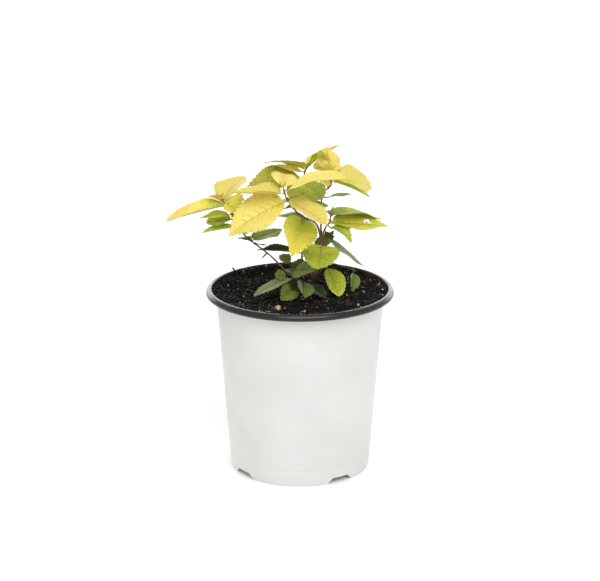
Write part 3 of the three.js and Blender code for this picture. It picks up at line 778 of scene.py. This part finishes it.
# each shoot: its line, the bare share, the radius at its start and end, the number, length and tone of
# the leaves round its tip, the leaves dealt out behind it, and its own leaves
shoots = {
    "left": {
        "line": [(6.5, -1, 118), (-4.5, -8, 129), (-19, -12, 145),
                 (-36, -14, 160), (-43.5, -13, 174), (-50, -14, 183)],
        "bare": 0.5, "radius": (0.66, 0.38), "young": (3, 4, "young"),
        "behind": {"count": 3, "start": 0.68, "end": 0.9, "bearing": 84, "spread": 10,
                   "rise": 0, "long": 28},
        "leaves": [
            leaf(0.94, 201, -10, 39, 19, "mid", droop=7, roll=7, fold=38, belly=0.65, quilt=0.2,
                 smooth=True, shades=[(0.1, "lime"), (0.2, "honey"), (0.34, "lemon"), (0.62, "gold")]),
            leaf(0.99, 53, 22, 24, 24, "straw", droop=26, roll=6, fold=21, belly=0.65, toothed=0.6),
            leaf(0.98, 335, -28, 11, 22, "honey", droop=38, roll=-32, fold=40, belly=1),
            leaf(0.97, 205, 24, 9, 8, "orange", droop=20, roll=-25, fold=30),
            leaf(0.86, 199, -3, 19, 9, "lime", droop=16, roll=14, belly=0.6),
            leaf(0.82, 162, -11, 17, 12, "mid", roll=35, fold=18, belly=1, point=0.6),
            leaf(0.76, 189, -8, 21, 11, "mid", droop=6, roll=3, fold=26, belly=0.85),
            leaf(0.62, 36, 8, 22, 18, "green", droop=5, fold=5, point=0.7),
            leaf(0.62, 125, -4, 10, 9, "moss", fold=10),
            leaf(0.58, 60, -19, 9, 8, "moss", fold=10),
        ],
    },
    "front": {
        "line": [(13.3, -1, 154), (10, -8, 165), (0, -20, 174), (-7.5, -27, 185), (-10.5, -30, 194)],
        "bare": 0.36, "radius": (0.72, 0.44), "young": (3, 3.6, "young"), "redFrom": 0.78,
        "leaves": [
            leaf(0.84, 185, -31, 41, 32, "honey", droop=26, roll=30, fold=14, rib="bold", quilt=1.6,
                 toothed=1.3, shades=[(0.12, "lemon")]),
            leaf(0.93, 174, -1, 31, 20, "straw", droop=0, roll=4, fold=33, belly=0.55),
            leaf(1, 90, 3, 28, 19, "lemon", droop=15, roll=-14, fold=25, belly=0.6),
            leaf(0.96, 342, 17, 40, 24, "lemon", droop=23, roll=-7, fold=20, belly=0.9, toothed=0.6),
            leaf(0.85, 51, 3, 34, 22, "lime", droop=0, roll=-27, fold=5, belly=0.9, point=0.6, quilt=1.8,
                 shades=[(0.35, "mid"), (0.65, "green")]),
            leaf(0.7, 38, -6, 26, 14, "green", roll=-15),
            leaf(0.82, 313, -14, 34, 19, "straw", droop=25, roll=-6, fold=23, belly=1.05, rib="bold"),
            leaf(0.5, 257, -30, 32, 25, "mid", droop=0, roll=27, fold=27, belly=0.7, rib="gold",
                 quilt=1.3, shades=[(0.06, "lime"), (0.42, "honey")]),
        ],
    },
    "top": {
        "line": [(13.5, 1, 150), (13.5, 6, 167), (14.5, 8, 180), (20, 10, 186), (17.5, 11, 194)],
        "bare": 0.42, "radius": (0.66, 0.42), "young": (6, 6.5, "honey"),
        "behind": {"count": 2, "start": 0.76, "end": 0.93, "bearing": 92, "spread": 14,
                   "rise": 4, "long": 22},
        "leaves": [
            leaf(0.97, 90, 41, 18, 19, "gold", droop=0, roll=-45, fold=38, belly=0.65, point=0.7,
                 toothed=1.3),
            leaf(1, 238, 36, 14, 10, "lemon", droop=0, roll=-38, fold=5, belly=0.95, point=0.6,
                 crumple=1.2, quilt=2.5),
            leaf(0.9, 25, -17, 28, 25, "straw", droop=36, roll=-29, fold=19, belly=1, point=0.6,
                 toothed=1.2),
            leaf(0.88, 335, -17, 26, 16, "honey", droop=17, roll=15, fold=28, belly=0.6,
                 shades=[(0.3, "lime"), (0.75, "mid")]),
            leaf(0.6, 5, 5, 14, 9, "green", droop=3, fold=10, belly=1, stem=5),
            leaf(1, 140, 64, 12, 9, "olive", droop=20, roll=50, belly=0.9, crumple=1.0, quilt=1.5,
                 shades=[(0.8, "mid")]),
        ],
    },
    "right": {
        "line": [(13.5, -1, 152), (16, -5, 161), (19, -7, 166), (19.5, -6, 171)],
        "bare": 0.3, "radius": (0.58, 0.38), "young": (2, 4, "green"),
        "behind": {"count": 1, "start": 0.8, "end": 0.8, "bearing": 70, "spread": 0,
                   "rise": -22, "long": 30},
        "leaves": [
            leaf(0.72, 22, -9, 39, 20, "lime", droop=5, roll=-20, fold=18, rib="green", quilt=2.0,
                 crumple=0.3, shades=[(0.25, "honey"), (0.72, "lime")],
                 holes=[(0.575, -0.13, 1.0, 0.7), (0.615, -0.32, 1.9, 0.7), (0.66, -0.16, 1.0, 0.7)]),
            leaf(1, 32, -14, 37, 20, "green", droop=22, fold=17, belly=0.6, quilt=1.6,
                 shades=[(0.35, "mid"), (0.75, "lime")]),
            leaf(0.62, 332, -29, 17, 13, "mid", droop=40, roll=-6, fold=40, belly=0.95, quilt=1.5),
            leaf(0.92, 75, -3, 17, 9, "moss", fold=20),
            leaf(0.42, 52, -44, 9, 7, "moss", droop=0, fold=5, belly=0.95),
        ],
    },
    "back": {
        "line": [(9, 1, 126), (1.5, 6, 137), (2.5, 9, 144), (5, 14, 158),
                 (4, 18, 174), (2.5, 20, 188), (4.5, 21, 195)],
        "bare": 0.3, "radius": (0.66, 0.42), "young": (3, 4.5, "olive"),
        "behind": {"count": 5, "start": 0.52, "end": 0.84, "bearing": 106, "spread": 28,
                   "rise": -6, "long": 32},
        "leaves": [
            leaf(0.86, 201, 1, 37, 24, "olive", droop=31, roll=30, fold=34, belly=0.8, quilt=1.4,
                 toothed=1.2),
            leaf(0.66, 211, 0, 15, 8, "moss", fold=20),
            leaf(0.98, 218, 15, 33, 19, "honey", droop=30, roll=-12, fold=8, belly=0.6),
            leaf(1, 50, 14, 32, 15, "gold", droop=5, roll=15, fold=28, belly=0.6),
            leaf(0.98, 21, 44, 14, 10, "lime", droop=0, roll=45, fold=10, belly=0.9, crumple=0.8),
            leaf(0.95, 212, 19, 21, 4.4, "lemon", droop=12, roll=45, fold=0),
        ],
    },
    "centre": {
        "line": [(13.3, -1, 148), (14, -5, 151), (18, -6, 154)],
        "bare": 0, "radius": (0.52, 0.42),
        "leaves": [
            leaf(0.35, 267, -15, 27, 25, "lime", droop=8, roll=3, fold=16, belly=0.8, point=0.4,
                 rib="moss", quilt=2.9, toothed=0.9, shades=[(0.4, "mid")]),
            leaf(1, 15, -40, 28, 13, "grey", droop=3, roll=-13, fold=5, belly=0.6),
        ],
    },
    "inner": {
        "line": [(12.2, 1, 141), (4, 5, 141), (-5, 8, 142)],
        "bare": 0, "radius": (0.52, 0.38),
        "behind": {"count": 1, "start": 0.25, "end": 0.25, "bearing": 62, "spread": 0,
                   "rise": -6, "long": 26},
        "leaves": [
            leaf(0.15, 44, 37, 19, 13, "moss", fold=20),
            leaf(0.9, 180, 3, 22, 13, "dark", droop=5, roll=7, fold=28, belly=0.6),
        ],
    },
    "low_left": {
        "line": [(7.3, -1, 121), (2, -7, 126), (-3, -12, 131), (-5.5, -13, 138)],
        "bare": 0, "radius": (0.52, 0.38),
        "leaves": [
            leaf(0.7, 210, -16, 29, 14, "grey", droop=20, roll=-2, fold=8, belly=1),
            leaf(0.45, 241, -12, 25, 12, "dark", droop=0, roll=45, fold=17, belly=1, point=0.7,
                 quilt=1.4, toothed=0.8, shades=[(0.45, "moss")]),
            leaf(0.38, 272, -6, 25, 15, "moss", droop=0, roll=24, fold=40, belly=1, point=0.7,
                 toothed=0.8),
            leaf(1, 147, 38, 8, 11, "moss", roll=5, belly=1, point=0.45),
            leaf(0.8, 181, -8, 7, 8, "moss", droop=20, roll=45, fold=20, belly=1, point=0.5, stem=5),
            leaf(0.9, 310, 14, 22, 13, "moss", droop=0, roll=-40, fold=5, belly=0.55),
            leaf(0.25, 311, -15, 18, 13, "dark", fold=10),
        ],
    },
    "low_front": {
        "line": [(9.3, -1, 127), (4.5, -3, 129), (-1.5, -2, 129)],
        "bare": 0, "radius": (0.52, 0.38),
        "leaves": [
            leaf(0.85, 270, 68, 11, 12, "moss", fold=10),
            leaf(1, 141, 13, 7, 8, "moss", fold=10, point=0.45),
        ],
    },
    "low_right": {
        "line": [(9.8, 0.5, 127), (18.5, 2, 135), (27.5, 4, 133), (36, 6, 129)],
        "bare": 0, "radius": (0.5, 0.36),
        "behind": {"count": 1, "start": 0.15, "end": 0.15, "bearing": 88, "spread": 0,
                   "rise": 2, "long": 20},
        "leaves": [
            leaf(0.33, 298, -44, 21, 16, "mid", droop=20, roll=1, fold=28, belly=0.95, point=0.5,
                 quilt=1.8, toothed=0.5, shades=[(0.9, "lime")]),
            leaf(0.95, 265, -38, 14, 10, "moss", droop=20, roll=35, fold=40, belly=0.9),
        ],
    },
}

hiddenLeaf = {"droop": 25, "slenderness": 0.48, "sizeChange": 0.12, "bearingChange": 8, "riseChange": 7,
              "limeFrom": 160, "lemonFrom": 178}
dealtStep, dealtRange = 16807, 2147483647
dealtState = [11]


def dealt():
    # even numbers from -1 to 1, the same on every run
    dealtState[0] = dealtState[0] * dealtStep % dealtRange
    return 2 * dealtState[0] / dealtRange - 1


def hiddenTone(height):
    # lower leaves are older and greener
    if height < hiddenLeaf["limeFrom"]:
        return "green"
    return "lime" if height < hiddenLeaf["lemonFrom"] else "lemon"


def leavesBehind(shoot, path):
    # evenly spaced leaves on alternate sides of one bearing
    rule = shoot.get("behind", {"count": 0})
    leaves = []
    for step in range(rule["count"]):
        size = rule["long"] * (1 + hiddenLeaf["sizeChange"] * dealt())
        at = rule["start"] + (rule["end"] - rule["start"]) * step / max(1, rule["count"] - 1)
        side = -rule["spread"] if step % 2 else rule["spread"]
        bearing = rule["bearing"] + side + hiddenLeaf["bearingChange"] * dealt()
        rise = rule["rise"] + hiddenLeaf["riseChange"] * dealt()
        leaves.append(leaf(at, bearing, rise, size, size * hiddenLeaf["slenderness"],
                           hiddenTone(alongPath(path, at)[2]), droop=hiddenLeaf["droop"]))
    return leaves


trunkPath = smoothPath(trunk["line"])
for shoot in shoots.values():
    shoot["path"] = smoothPath(shoot["line"])
    shoot["leaves"] += leavesBehind(shoot, shoot["path"])


# places in the finishes of bark (painted shade at the trunk's foot) and of twigs (bud and red); 0 is the main
# finish
paintedShadeTone, budTone, redTone = 1, 1, 2


def pathLength(path):
    # the sum of the steps between its points
    return np.linalg.norm(np.diff(path, axis=0), axis=1).sum()


def pathDirection(path, at):
    # from just before a share of the path to just after it, made one long
    step = alongPath(path, min(1, at + 0.01)) - alongPath(path, max(0, at - 0.01))
    return step / np.linalg.norm(step)


def barkRelief(length, sides, rings, depth, seed):
    # long furrows that wander round the limb, and soft lumps: products of waves along and around
    along = np.linspace(0, length, rings)[:, None]
    turn = np.linspace(0, 2 * math.pi, sides, endpoint=False)[None, :]
    wander = 0.5 * np.sin(along * 0.35 + seed)
    furrow = np.abs(np.sin(3.5 * turn + wander)) * np.abs(np.cos(2 * turn - along * 0.22))
    lump = np.sin(along * 0.9 + 2 * np.sin(turn + seed)) * np.sin(along * 0.37 + turn)
    return limb["furrow"] * depth * (furrow - 0.4) + limb["lump"] * depth * lump


def limbPart(path, start, end, radiusAt, sides, depth, seed, band=None):
    # one tapering limb from a share of a path to another, under its bark relief; a band of
    # shares can have a finish of its own, with a ragged edge
    length = pathLength(path) * (end - start)
    rings = max(8, int(length * limb["ringsPerMm"]))
    share = np.linspace(start, end, rings)
    relief = barkRelief(length, sides, rings, depth, seed)
    points, faces = tube(alongPath(path, share), radiusAt(share), sides, relief)
    tones = np.zeros((rings - 1) * sides + 2, dtype=int)
    if band:
        low, high, tone = band
        uneven = rng.uniform(-limb["bandEdge"], limb["bandEdge"], (rings - 1) * sides)
        place = np.repeat(share[1:], sides) + uneven
        tones[:-2][(place > low) & (place < high)] = tone
    return points, faces, tones


def trunkRadius(share):
    # an even taper, plus a flare at the roots that dies away with height
    flare = trunk["flare"] * np.exp(-share * pathLength(trunkPath) / trunk["flareHeight"])
    return trunk["foot"] + (trunk["tip"] - trunk["foot"]) * share + flare


def stemRadius(shoot):
    # an even taper from the first radius to the second
    thick, thin = shoot["radius"]
    return lambda share: thick + (thin - thick) * share


def leafAxes(row):
    # along the midrib, across the blade and out of its face
    bearing, rise, roll = (math.radians(row[key]) for key in ("bearing", "rise", "roll"))
    along = np.array([math.cos(rise) * math.cos(bearing), math.cos(rise) * math.sin(bearing), math.sin(rise)])
    level = np.array([math.sin(bearing), -math.cos(bearing), 0])
    lifted = np.cross(level, along)
    across = level * math.cos(roll) + lifted * math.sin(roll)
    return along, across, np.cross(across, along)


bud = {"long": 1.5, "thick": 0.4, "tip": 0.08, "start": 0.3, "collarHalf": 1.1, "collarSwell": 0.3}


def budPart(root, row):
    # a pointed bud above the stalk: its radius swells and closes along its length
    along, _, _ = leafAxes(row)
    heading = along * 0.6 + np.array([0, 0, 0.8])
    heading /= np.linalg.norm(heading)
    share = np.linspace(0, 1, 7)
    path = root + heading * (bud["start"] + bud["long"] * share)[:, None]
    swell = np.sin(math.pi * share ** 0.6) * (1 - 0.35 * share)
    return (*tube(path, bud["tip"] + bud["thick"] * swell, 7), budTone)


def nodeSwellings(shoot):
    # a small collar and bud where each leaf leaves the stem, but not at its tip
    parts = []
    for row in shoot["leaves"]:
        if row["at"] < 0.99:
            root = alongPath(shoot["path"], row["at"])
            share = np.linspace(-1, 1, 7)
            path = root + share[:, None] * pathDirection(shoot["path"], row["at"]) * bud["collarHalf"]
            swell = 1 + bud["collarSwell"] * np.cos(share * math.pi / 2)
            parts.append((*tube(path, stemRadius(shoot)(row["at"]) * swell, 8), 0))
            parts.append(budPart(root, row))
    return parts


def stubPart():
    # a short straight tube that narrows to its broken end
    root = alongPath(shoots["left"]["path"], stub["at"])
    path = root + np.linspace(0, 1, 5)[:, None] * np.array(stub["reach"])
    return (*tube(path, stub["radius"] * np.linspace(1, 0.6, 5), 8), 0)


# the tones that leaves are dealt: a colour and the colour of its patches
bladeColours = {
    "gold": ((234, 213, 110), (226, 202, 98)),
    "lemon": ((240, 224, 120), (233, 215, 108)),
    "straw": ((226, 211, 112), (219, 202, 101)),
    "orange": ((236, 204, 104), (224, 184, 84)),
    "young": ((218, 196, 94), (198, 166, 80)),
    "honey": ((226, 216, 88), (214, 202, 76)),
    "lime": ((208, 212, 80), (194, 201, 70)),
    "olive": ((196, 186, 72), (178, 175, 64)),
    "mid": ((188, 198, 64), (172, 186, 56)),
    "green": ((160, 174, 66), (144, 160, 56)),
    "moss": ((122, 139, 64), (107, 125, 54)),
    # dark is partly the deep green of low inner leaves and partly painted shade for the crown's shadow over
    # them
    "dark": ((64, 76, 36), (52, 64, 30)),
    "grey": ((132, 146, 94), (117, 131, 82)),
    "edge": ((238, 208, 108), (228, 190, 92)),
}
bladeTones = list(bladeColours)
yellowTones = ("gold", "lemon", "straw", "orange")
ribColours = {"goldRib": (222, 200, 98), "oliveRib": (176, 152, 62), "limeRib": (150, 154, 56),
              "greenRib": (122, 136, 62), "darkRib": (78, 90, 46)}
ribTones = {"gold": 0, "lemon": 0, "straw": 0, "orange": 0, "young": 0, "bold": 1, "honey": 1,
            "lime": 2, "olive": 2, "mid": 3, "green": 3, "grey": 3, "moss": 4, "dark": 4}

blade = {"teethPerMm": 0.42, "toothDepth": 1.6, "toothLean": 0.8, "tip": 0.08, "baseRound": 0.6,
         "veins": 8.6, "firstVein": 0.45, "veinLean": 0.5, "veinBend": 0.45,
         "pleatDepth": 0.42, "midribDip": 0.22, "wave": 0.032, "midribRadius": 0.24, "veinRadius": 0.14,
         "stalkRadius": 0.34, "crumpleCell": 3.2, "veinedFrom": 7,
         "edgeTeeth": 0.25, "shadeLean": 0.1, "shadeEdge": 0.05, "shadeWander": 0.07, "shadeCell": 4.0}
toothShape = np.array([0.0, 0.45, 0.36, 0.8, 1.0])  # a small tooth on the back of a large one
halfColumns = np.array([0.1, 0.26, 0.44, 0.62, 0.79, 0.93, 1.0])
bladeColumns = np.concatenate([-halfColumns[::-1], [0.0], halfColumns])


def leafOutline(share, row):
    # half width at a share of the length: a sine of share^belly, blunt at the base, pointed at the tip
    bluntness = blade["baseRound"] + (row["point"] - blade["baseRound"]) * share
    return np.sin(math.pi * np.clip(share, 0, 1) ** row["belly"]) ** bluntness


def veinShift(edge, row):
    # how far a side vein has gone towards the tip, as a share of the length, on its way to the edge
    return (blade["veinLean"] * edge + blade["veinBend"] * edge ** 2) * row["wide"] / 2 / row["long"]


def leafSurface(root, row, along, across, tooth=0.0):
    # along 0-1 from stalk to tip, across -1 to 1 over the blade; arched, folded, pleated and waved
    direction, sideways, outward = leafAxes(row)
    long, wide, fold = row["long"], row["wide"], math.radians(row["fold"])
    edge = np.abs(across)
    half = np.maximum(blade["tip"], wide / 2 * leafOutline(along, row))
    margin = edge ** 5 * tooth
    reach = across * half * math.cos(fold) + np.sign(across) * margin
    arch = 2 * long * math.tan(math.radians(row["droop"]) / 4) * along * (1 - along)
    cup = half * math.sin(fold) * (edge - 0.25 * edge ** 2)
    phase = (along - veinShift(edge, row)) * blade["veins"] - blade["firstVein"]
    swell = np.abs(np.sin(math.pi * phase)) ** 1.4 * edge * (1 - edge ** 4) * smoothStep(along, 0.02, 0.15)
    pleat = blade["pleatDepth"] * row["quilt"] * min(1.0, wide / 14) * swell
    dip = -blade["midribDip"] * np.exp(-(across / 0.1) ** 2) * min(1.0, wide / 12)
    wave = blade["wave"] * wide * edge ** 2 * np.sin(2 * math.pi * (1.6 * along + row["wavePhase"]))
    wave = wave * np.where(across > 0, 1.0, np.cos(row["wavePhase"] * 9))
    if row.get("crumple"):
        wave = wave + row["crumple"] * latticeNoise(along * long, across * wide / 2, blade["crumpleCell"], 7)
    base = root + direction * row["stem"]
    return (base + (along * long + margin * blade["toothLean"])[..., None] * direction
            + reach[..., None] * sideways + (arch + cup + pleat + dip + wave)[..., None] * outward)


def dealTones(row, faceTooth, outerHalf, along, across):
    # each face has the leaf's own tone, or that of the last shade whose ragged line it is past; on
    # yellow leaves some teeth have warmer tips
    tones = np.full(len(along), bladeTones.index(row["tone"]))
    uneven = rng.uniform(-blade["shadeEdge"], blade["shadeEdge"], len(along))
    ragged = along + blade["shadeLean"] * np.abs(across) + uneven
    ragged = ragged + blade["shadeWander"] * latticeNoise(along * row["long"], across * row["wide"] / 2,
                                                          blade["shadeCell"], 5)
    for start, tone in row.get("shades", ()):
        tones[ragged > start] = bladeTones.index(tone)
    if row["tone"] in yellowTones:
        dealtTeeth = rng.uniform(0, 1, faceTooth[-1] + 2)[faceTooth] < blade["edgeTeeth"]
        tones[outerHalf & dealtTeeth] = bladeTones.index("edge")
    return tones


def bladePart(root, row):
    # five rows of points to a tooth; the teeth differ in size and the outline runs through their middle
    perTooth = len(toothShape)
    teeth = max(4, int(round(row["long"] * blade["teethPerMm"])))
    rows = perTooth * teeth + 1
    rowNumber = np.arange(rows)
    share = np.linspace(0, 1, rows)
    share[1:-1] += rng.uniform(-0.3, 0.3, rows - 2) / rows
    size = rng.uniform(0.45, 1.0, (teeth + 1, 2))[rowNumber // perTooth]
    size = size[:, (bladeColumns > 0).astype(int)]
    depth = blade["toothDepth"] * row["toothed"] * min(1.0, row["wide"] / 18) ** 0.7
    depth = depth * smoothStep(share, 0.08, 0.24) * (1 - smoothStep(share, 0.93, 1))
    tooth = (toothShape[rowNumber % perTooth] - 0.45)[:, None] * depth[:, None] * size
    grid = leafSurface(root, row, share[:, None] * np.ones(len(bladeColumns)),
                       np.ones((rows, 1)) * bladeColumns, tooth)
    faces = gridFaces(rows, len(bladeColumns))
    faceRow, column = np.divmod(np.arange(len(faces)), len(bladeColumns) - 1)
    faceAlong = (share[faceRow] + share[faceRow + 1]) / 2
    faceAcross = (bladeColumns[column] + bladeColumns[column + 1]) / 2
    atEdge = (column == 0) | (column == len(bladeColumns) - 2)
    tones = dealTones(row, faceRow // perTooth, atEdge & (faceRow % perTooth >= 2), faceAlong, faceAcross)
    kept = np.ones(len(faces), dtype=bool)
    for along, across, longReach, wideReach in row.get("holes", ()):
        kept &= np.hypot((faceAlong - along) * row["long"] / longReach,
                         (faceAcross - across) * row["wide"] / 2 / wideReach) > 1
    used, faces = np.unique(faces[kept], return_inverse=True)
    return grid.reshape(-1, 3)[used], [faces.reshape(-1, 4)], tones[kept]


def ribParts(root, row):
    # midrib and side veins, thin tubes half sunk in the blade
    tone = ribTones[row.get("rib", row["tone"])]
    thin = min(1.0, row["wide"] / 16)
    share = np.linspace(0, 0.96, 14)
    parts = [(*tube(leafSurface(root, row, share, np.zeros(14)),
                    blade["midribRadius"] * thin * (1 - 0.8 * share), 4), tone)]
    out = np.linspace(0.02, 0.88, 8)
    for vein in range(int(blade["veins"])):
        along = (vein + blade["firstVein"]) / blade["veins"] + veinShift(out, row)
        if along[-1] > 0.98 or row["wide"] < blade["veinedFrom"] or row.get("smooth"):
            continue
        for side in (-1, 1):
            parts.append((*tube(leafSurface(root, row, along, side * out),
                                blade["veinRadius"] * thin * (1 - 0.6 * out), 3), tone))
    return parts


def stalkPart(root, row, shoot):
    # from the stem to the blade, with a slight sag
    direction, _, _ = leafAxes(row)
    share = np.linspace(0, 1, 6)
    radius = stemRadius(shoot)(row["at"])
    path = root + direction * (share * (row["stem"] + 1.2))[:, None]
    path[:, 2] -= 0.25 * np.sin(math.pi * share)
    thick = blade["stalkRadius"] * min(1.0, row["long"] / 16) + 0.1
    return (*tube(path, np.linspace(min(radius, thick * 1.25), thick * 0.8, 6), 8), ribTones[row["tone"]])


youngLeaf = {"firstBearing": 40, "rise": 48, "slenderness": 0.6, "sizeChange": 0.3, "bearingChange": 25,
             "riseChange": 18, "droop": -30, "fold": 38, "stem": 0.6}


def youngLeaves(shoot):
    # a few unfolding leaves round a shoot's end
    count, long, tone = shoot.get("young", (0, 0, ""))
    leaves = []
    for step in range(count):
        size = long * (1 + youngLeaf["sizeChange"] * dealt())
        bearing = youngLeaf["firstBearing"] + 360 / count * step + youngLeaf["bearingChange"] * dealt()
        rise = youngLeaf["rise"] + youngLeaf["riseChange"] * dealt()
        leaves.append(leaf(1.0, bearing, rise, size, size * youngLeaf["slenderness"], tone,
                           droop=youngLeaf["droop"], fold=youngLeaf["fold"], stem=youngLeaf["stem"],
                           wavePhase=0.3 * step))
    return leaves


# darker leaves get deeper painted shade in their creases
bladeFinishes = [newFinish("leaf" + tone.capitalize(), colour, patch, 0.56, specular=0.2, mottleScale=230.0,
                           spread=(0.35, 0.75), creaseScale=650.0,
                           creaseShade=0.96 if colour[0] > 200 else 0.84)
                 for tone, (colour, patch) in bladeColours.items()]
ribFinishes = [newFinish(tone, colour, tuple(int(part * 0.85) for part in colour), 0.5, specular=0.3,
                         mottleScale=300.0) for tone, colour in ribColours.items()]
barkBrown = newFinish("greyBrownBark", (136, 110, 86), (104, 82, 62), 0.7, specular=0.2, mottleScale=380.0,
                      grainScale=1300.0, grainDepth=0.00022)
twigBrown = newFinish("brownTwig", (112, 92, 66), (82, 67, 49), 0.65, specular=0.25, mottleScale=420.0,
                      grainScale=1600.0, grainDepth=0.00012)
twigRed = newFinish("youngRedTwig", (158, 104, 64), (122, 76, 48), 0.6, specular=0.25, mottleScale=420.0,
                    grainScale=1600.0, grainDepth=0.00012)
# a darker bark that paints the shade on the trunk's foot under the leaves
barkPaintedShade = newFinish("barkShadePaint", (84, 69, 54), (60, 50, 41), 0.75, specular=0.2, mottleScale=380.0,
                     grainScale=1300.0, grainDepth=0.00022)
budBrown = newFinish("budScale", (132, 88, 60), (96, 64, 46), 0.6, specular=0.3, mottleScale=600.0)

# the trunk's foot has the darker bark: painted shade
barkParts = [limbPart(trunkPath, 0, 1, trunkRadius, trunk["sides"], 1.0, 0.0,
                      band=(-math.inf, trunk["paintedShadeTo"], paintedShadeTone))]
stemParts, bladeParts, ribList = [], [], []


def growShoot(number, shoot):
    # the bare bough, where there is one, then the stem with its buds, and the leaves
    path, bare, radiusAt = shoot["path"], shoot["bare"], stemRadius(shoot)
    if bare > 0:
        barkParts.append(limbPart(path, 0, bare, radiusAt, limb["boughSides"], limb["boughRelief"],
                                  number + 1))
    redBand = (shoot["redFrom"], math.inf, redTone) if "redFrom" in shoot else None
    stemParts.append(limbPart(path, max(0, bare - limb["overlap"]), 1, radiusAt, limb["twigSides"],
                              limb["twigRelief"], number + 7, band=redBand))
    stemParts.extend(nodeSwellings(shoot))
    for row in shoot["leaves"] + youngLeaves(shoot):
        row.setdefault("wavePhase", 0.5 + 0.5 * dealt())
        root = alongPath(path, row["at"])
        bladeParts.append(bladePart(root, row))
        ribList.extend(ribParts(root, row))
        ribList.append(stalkPart(root, row, shoot))


for number, shoot in enumerate(shoots.values()):
    growShoot(number, shoot)
stemParts.append(stubPart())

boughNames = [name + "_bough" for name, shoot in shoots.items() if shoot["bare"] > 0]
foliageNames = [name + "_foliage" for name in shoots]
addPiece("bark", barkParts, [barkBrown, barkPaintedShade], ["trunk", *boughNames], sharpAngle=50)
addPiece("twigs", stemParts, [twigBrown, budBrown, twigRed])
addPiece("leafBlades", bladeParts, bladeFinishes, foliageNames)
addPiece("leafRibs", ribList, ribFinishes)
print("stems and leaves:", sum(len(shoot["leaves"]) for shoot in shoots.values()), "leaves")
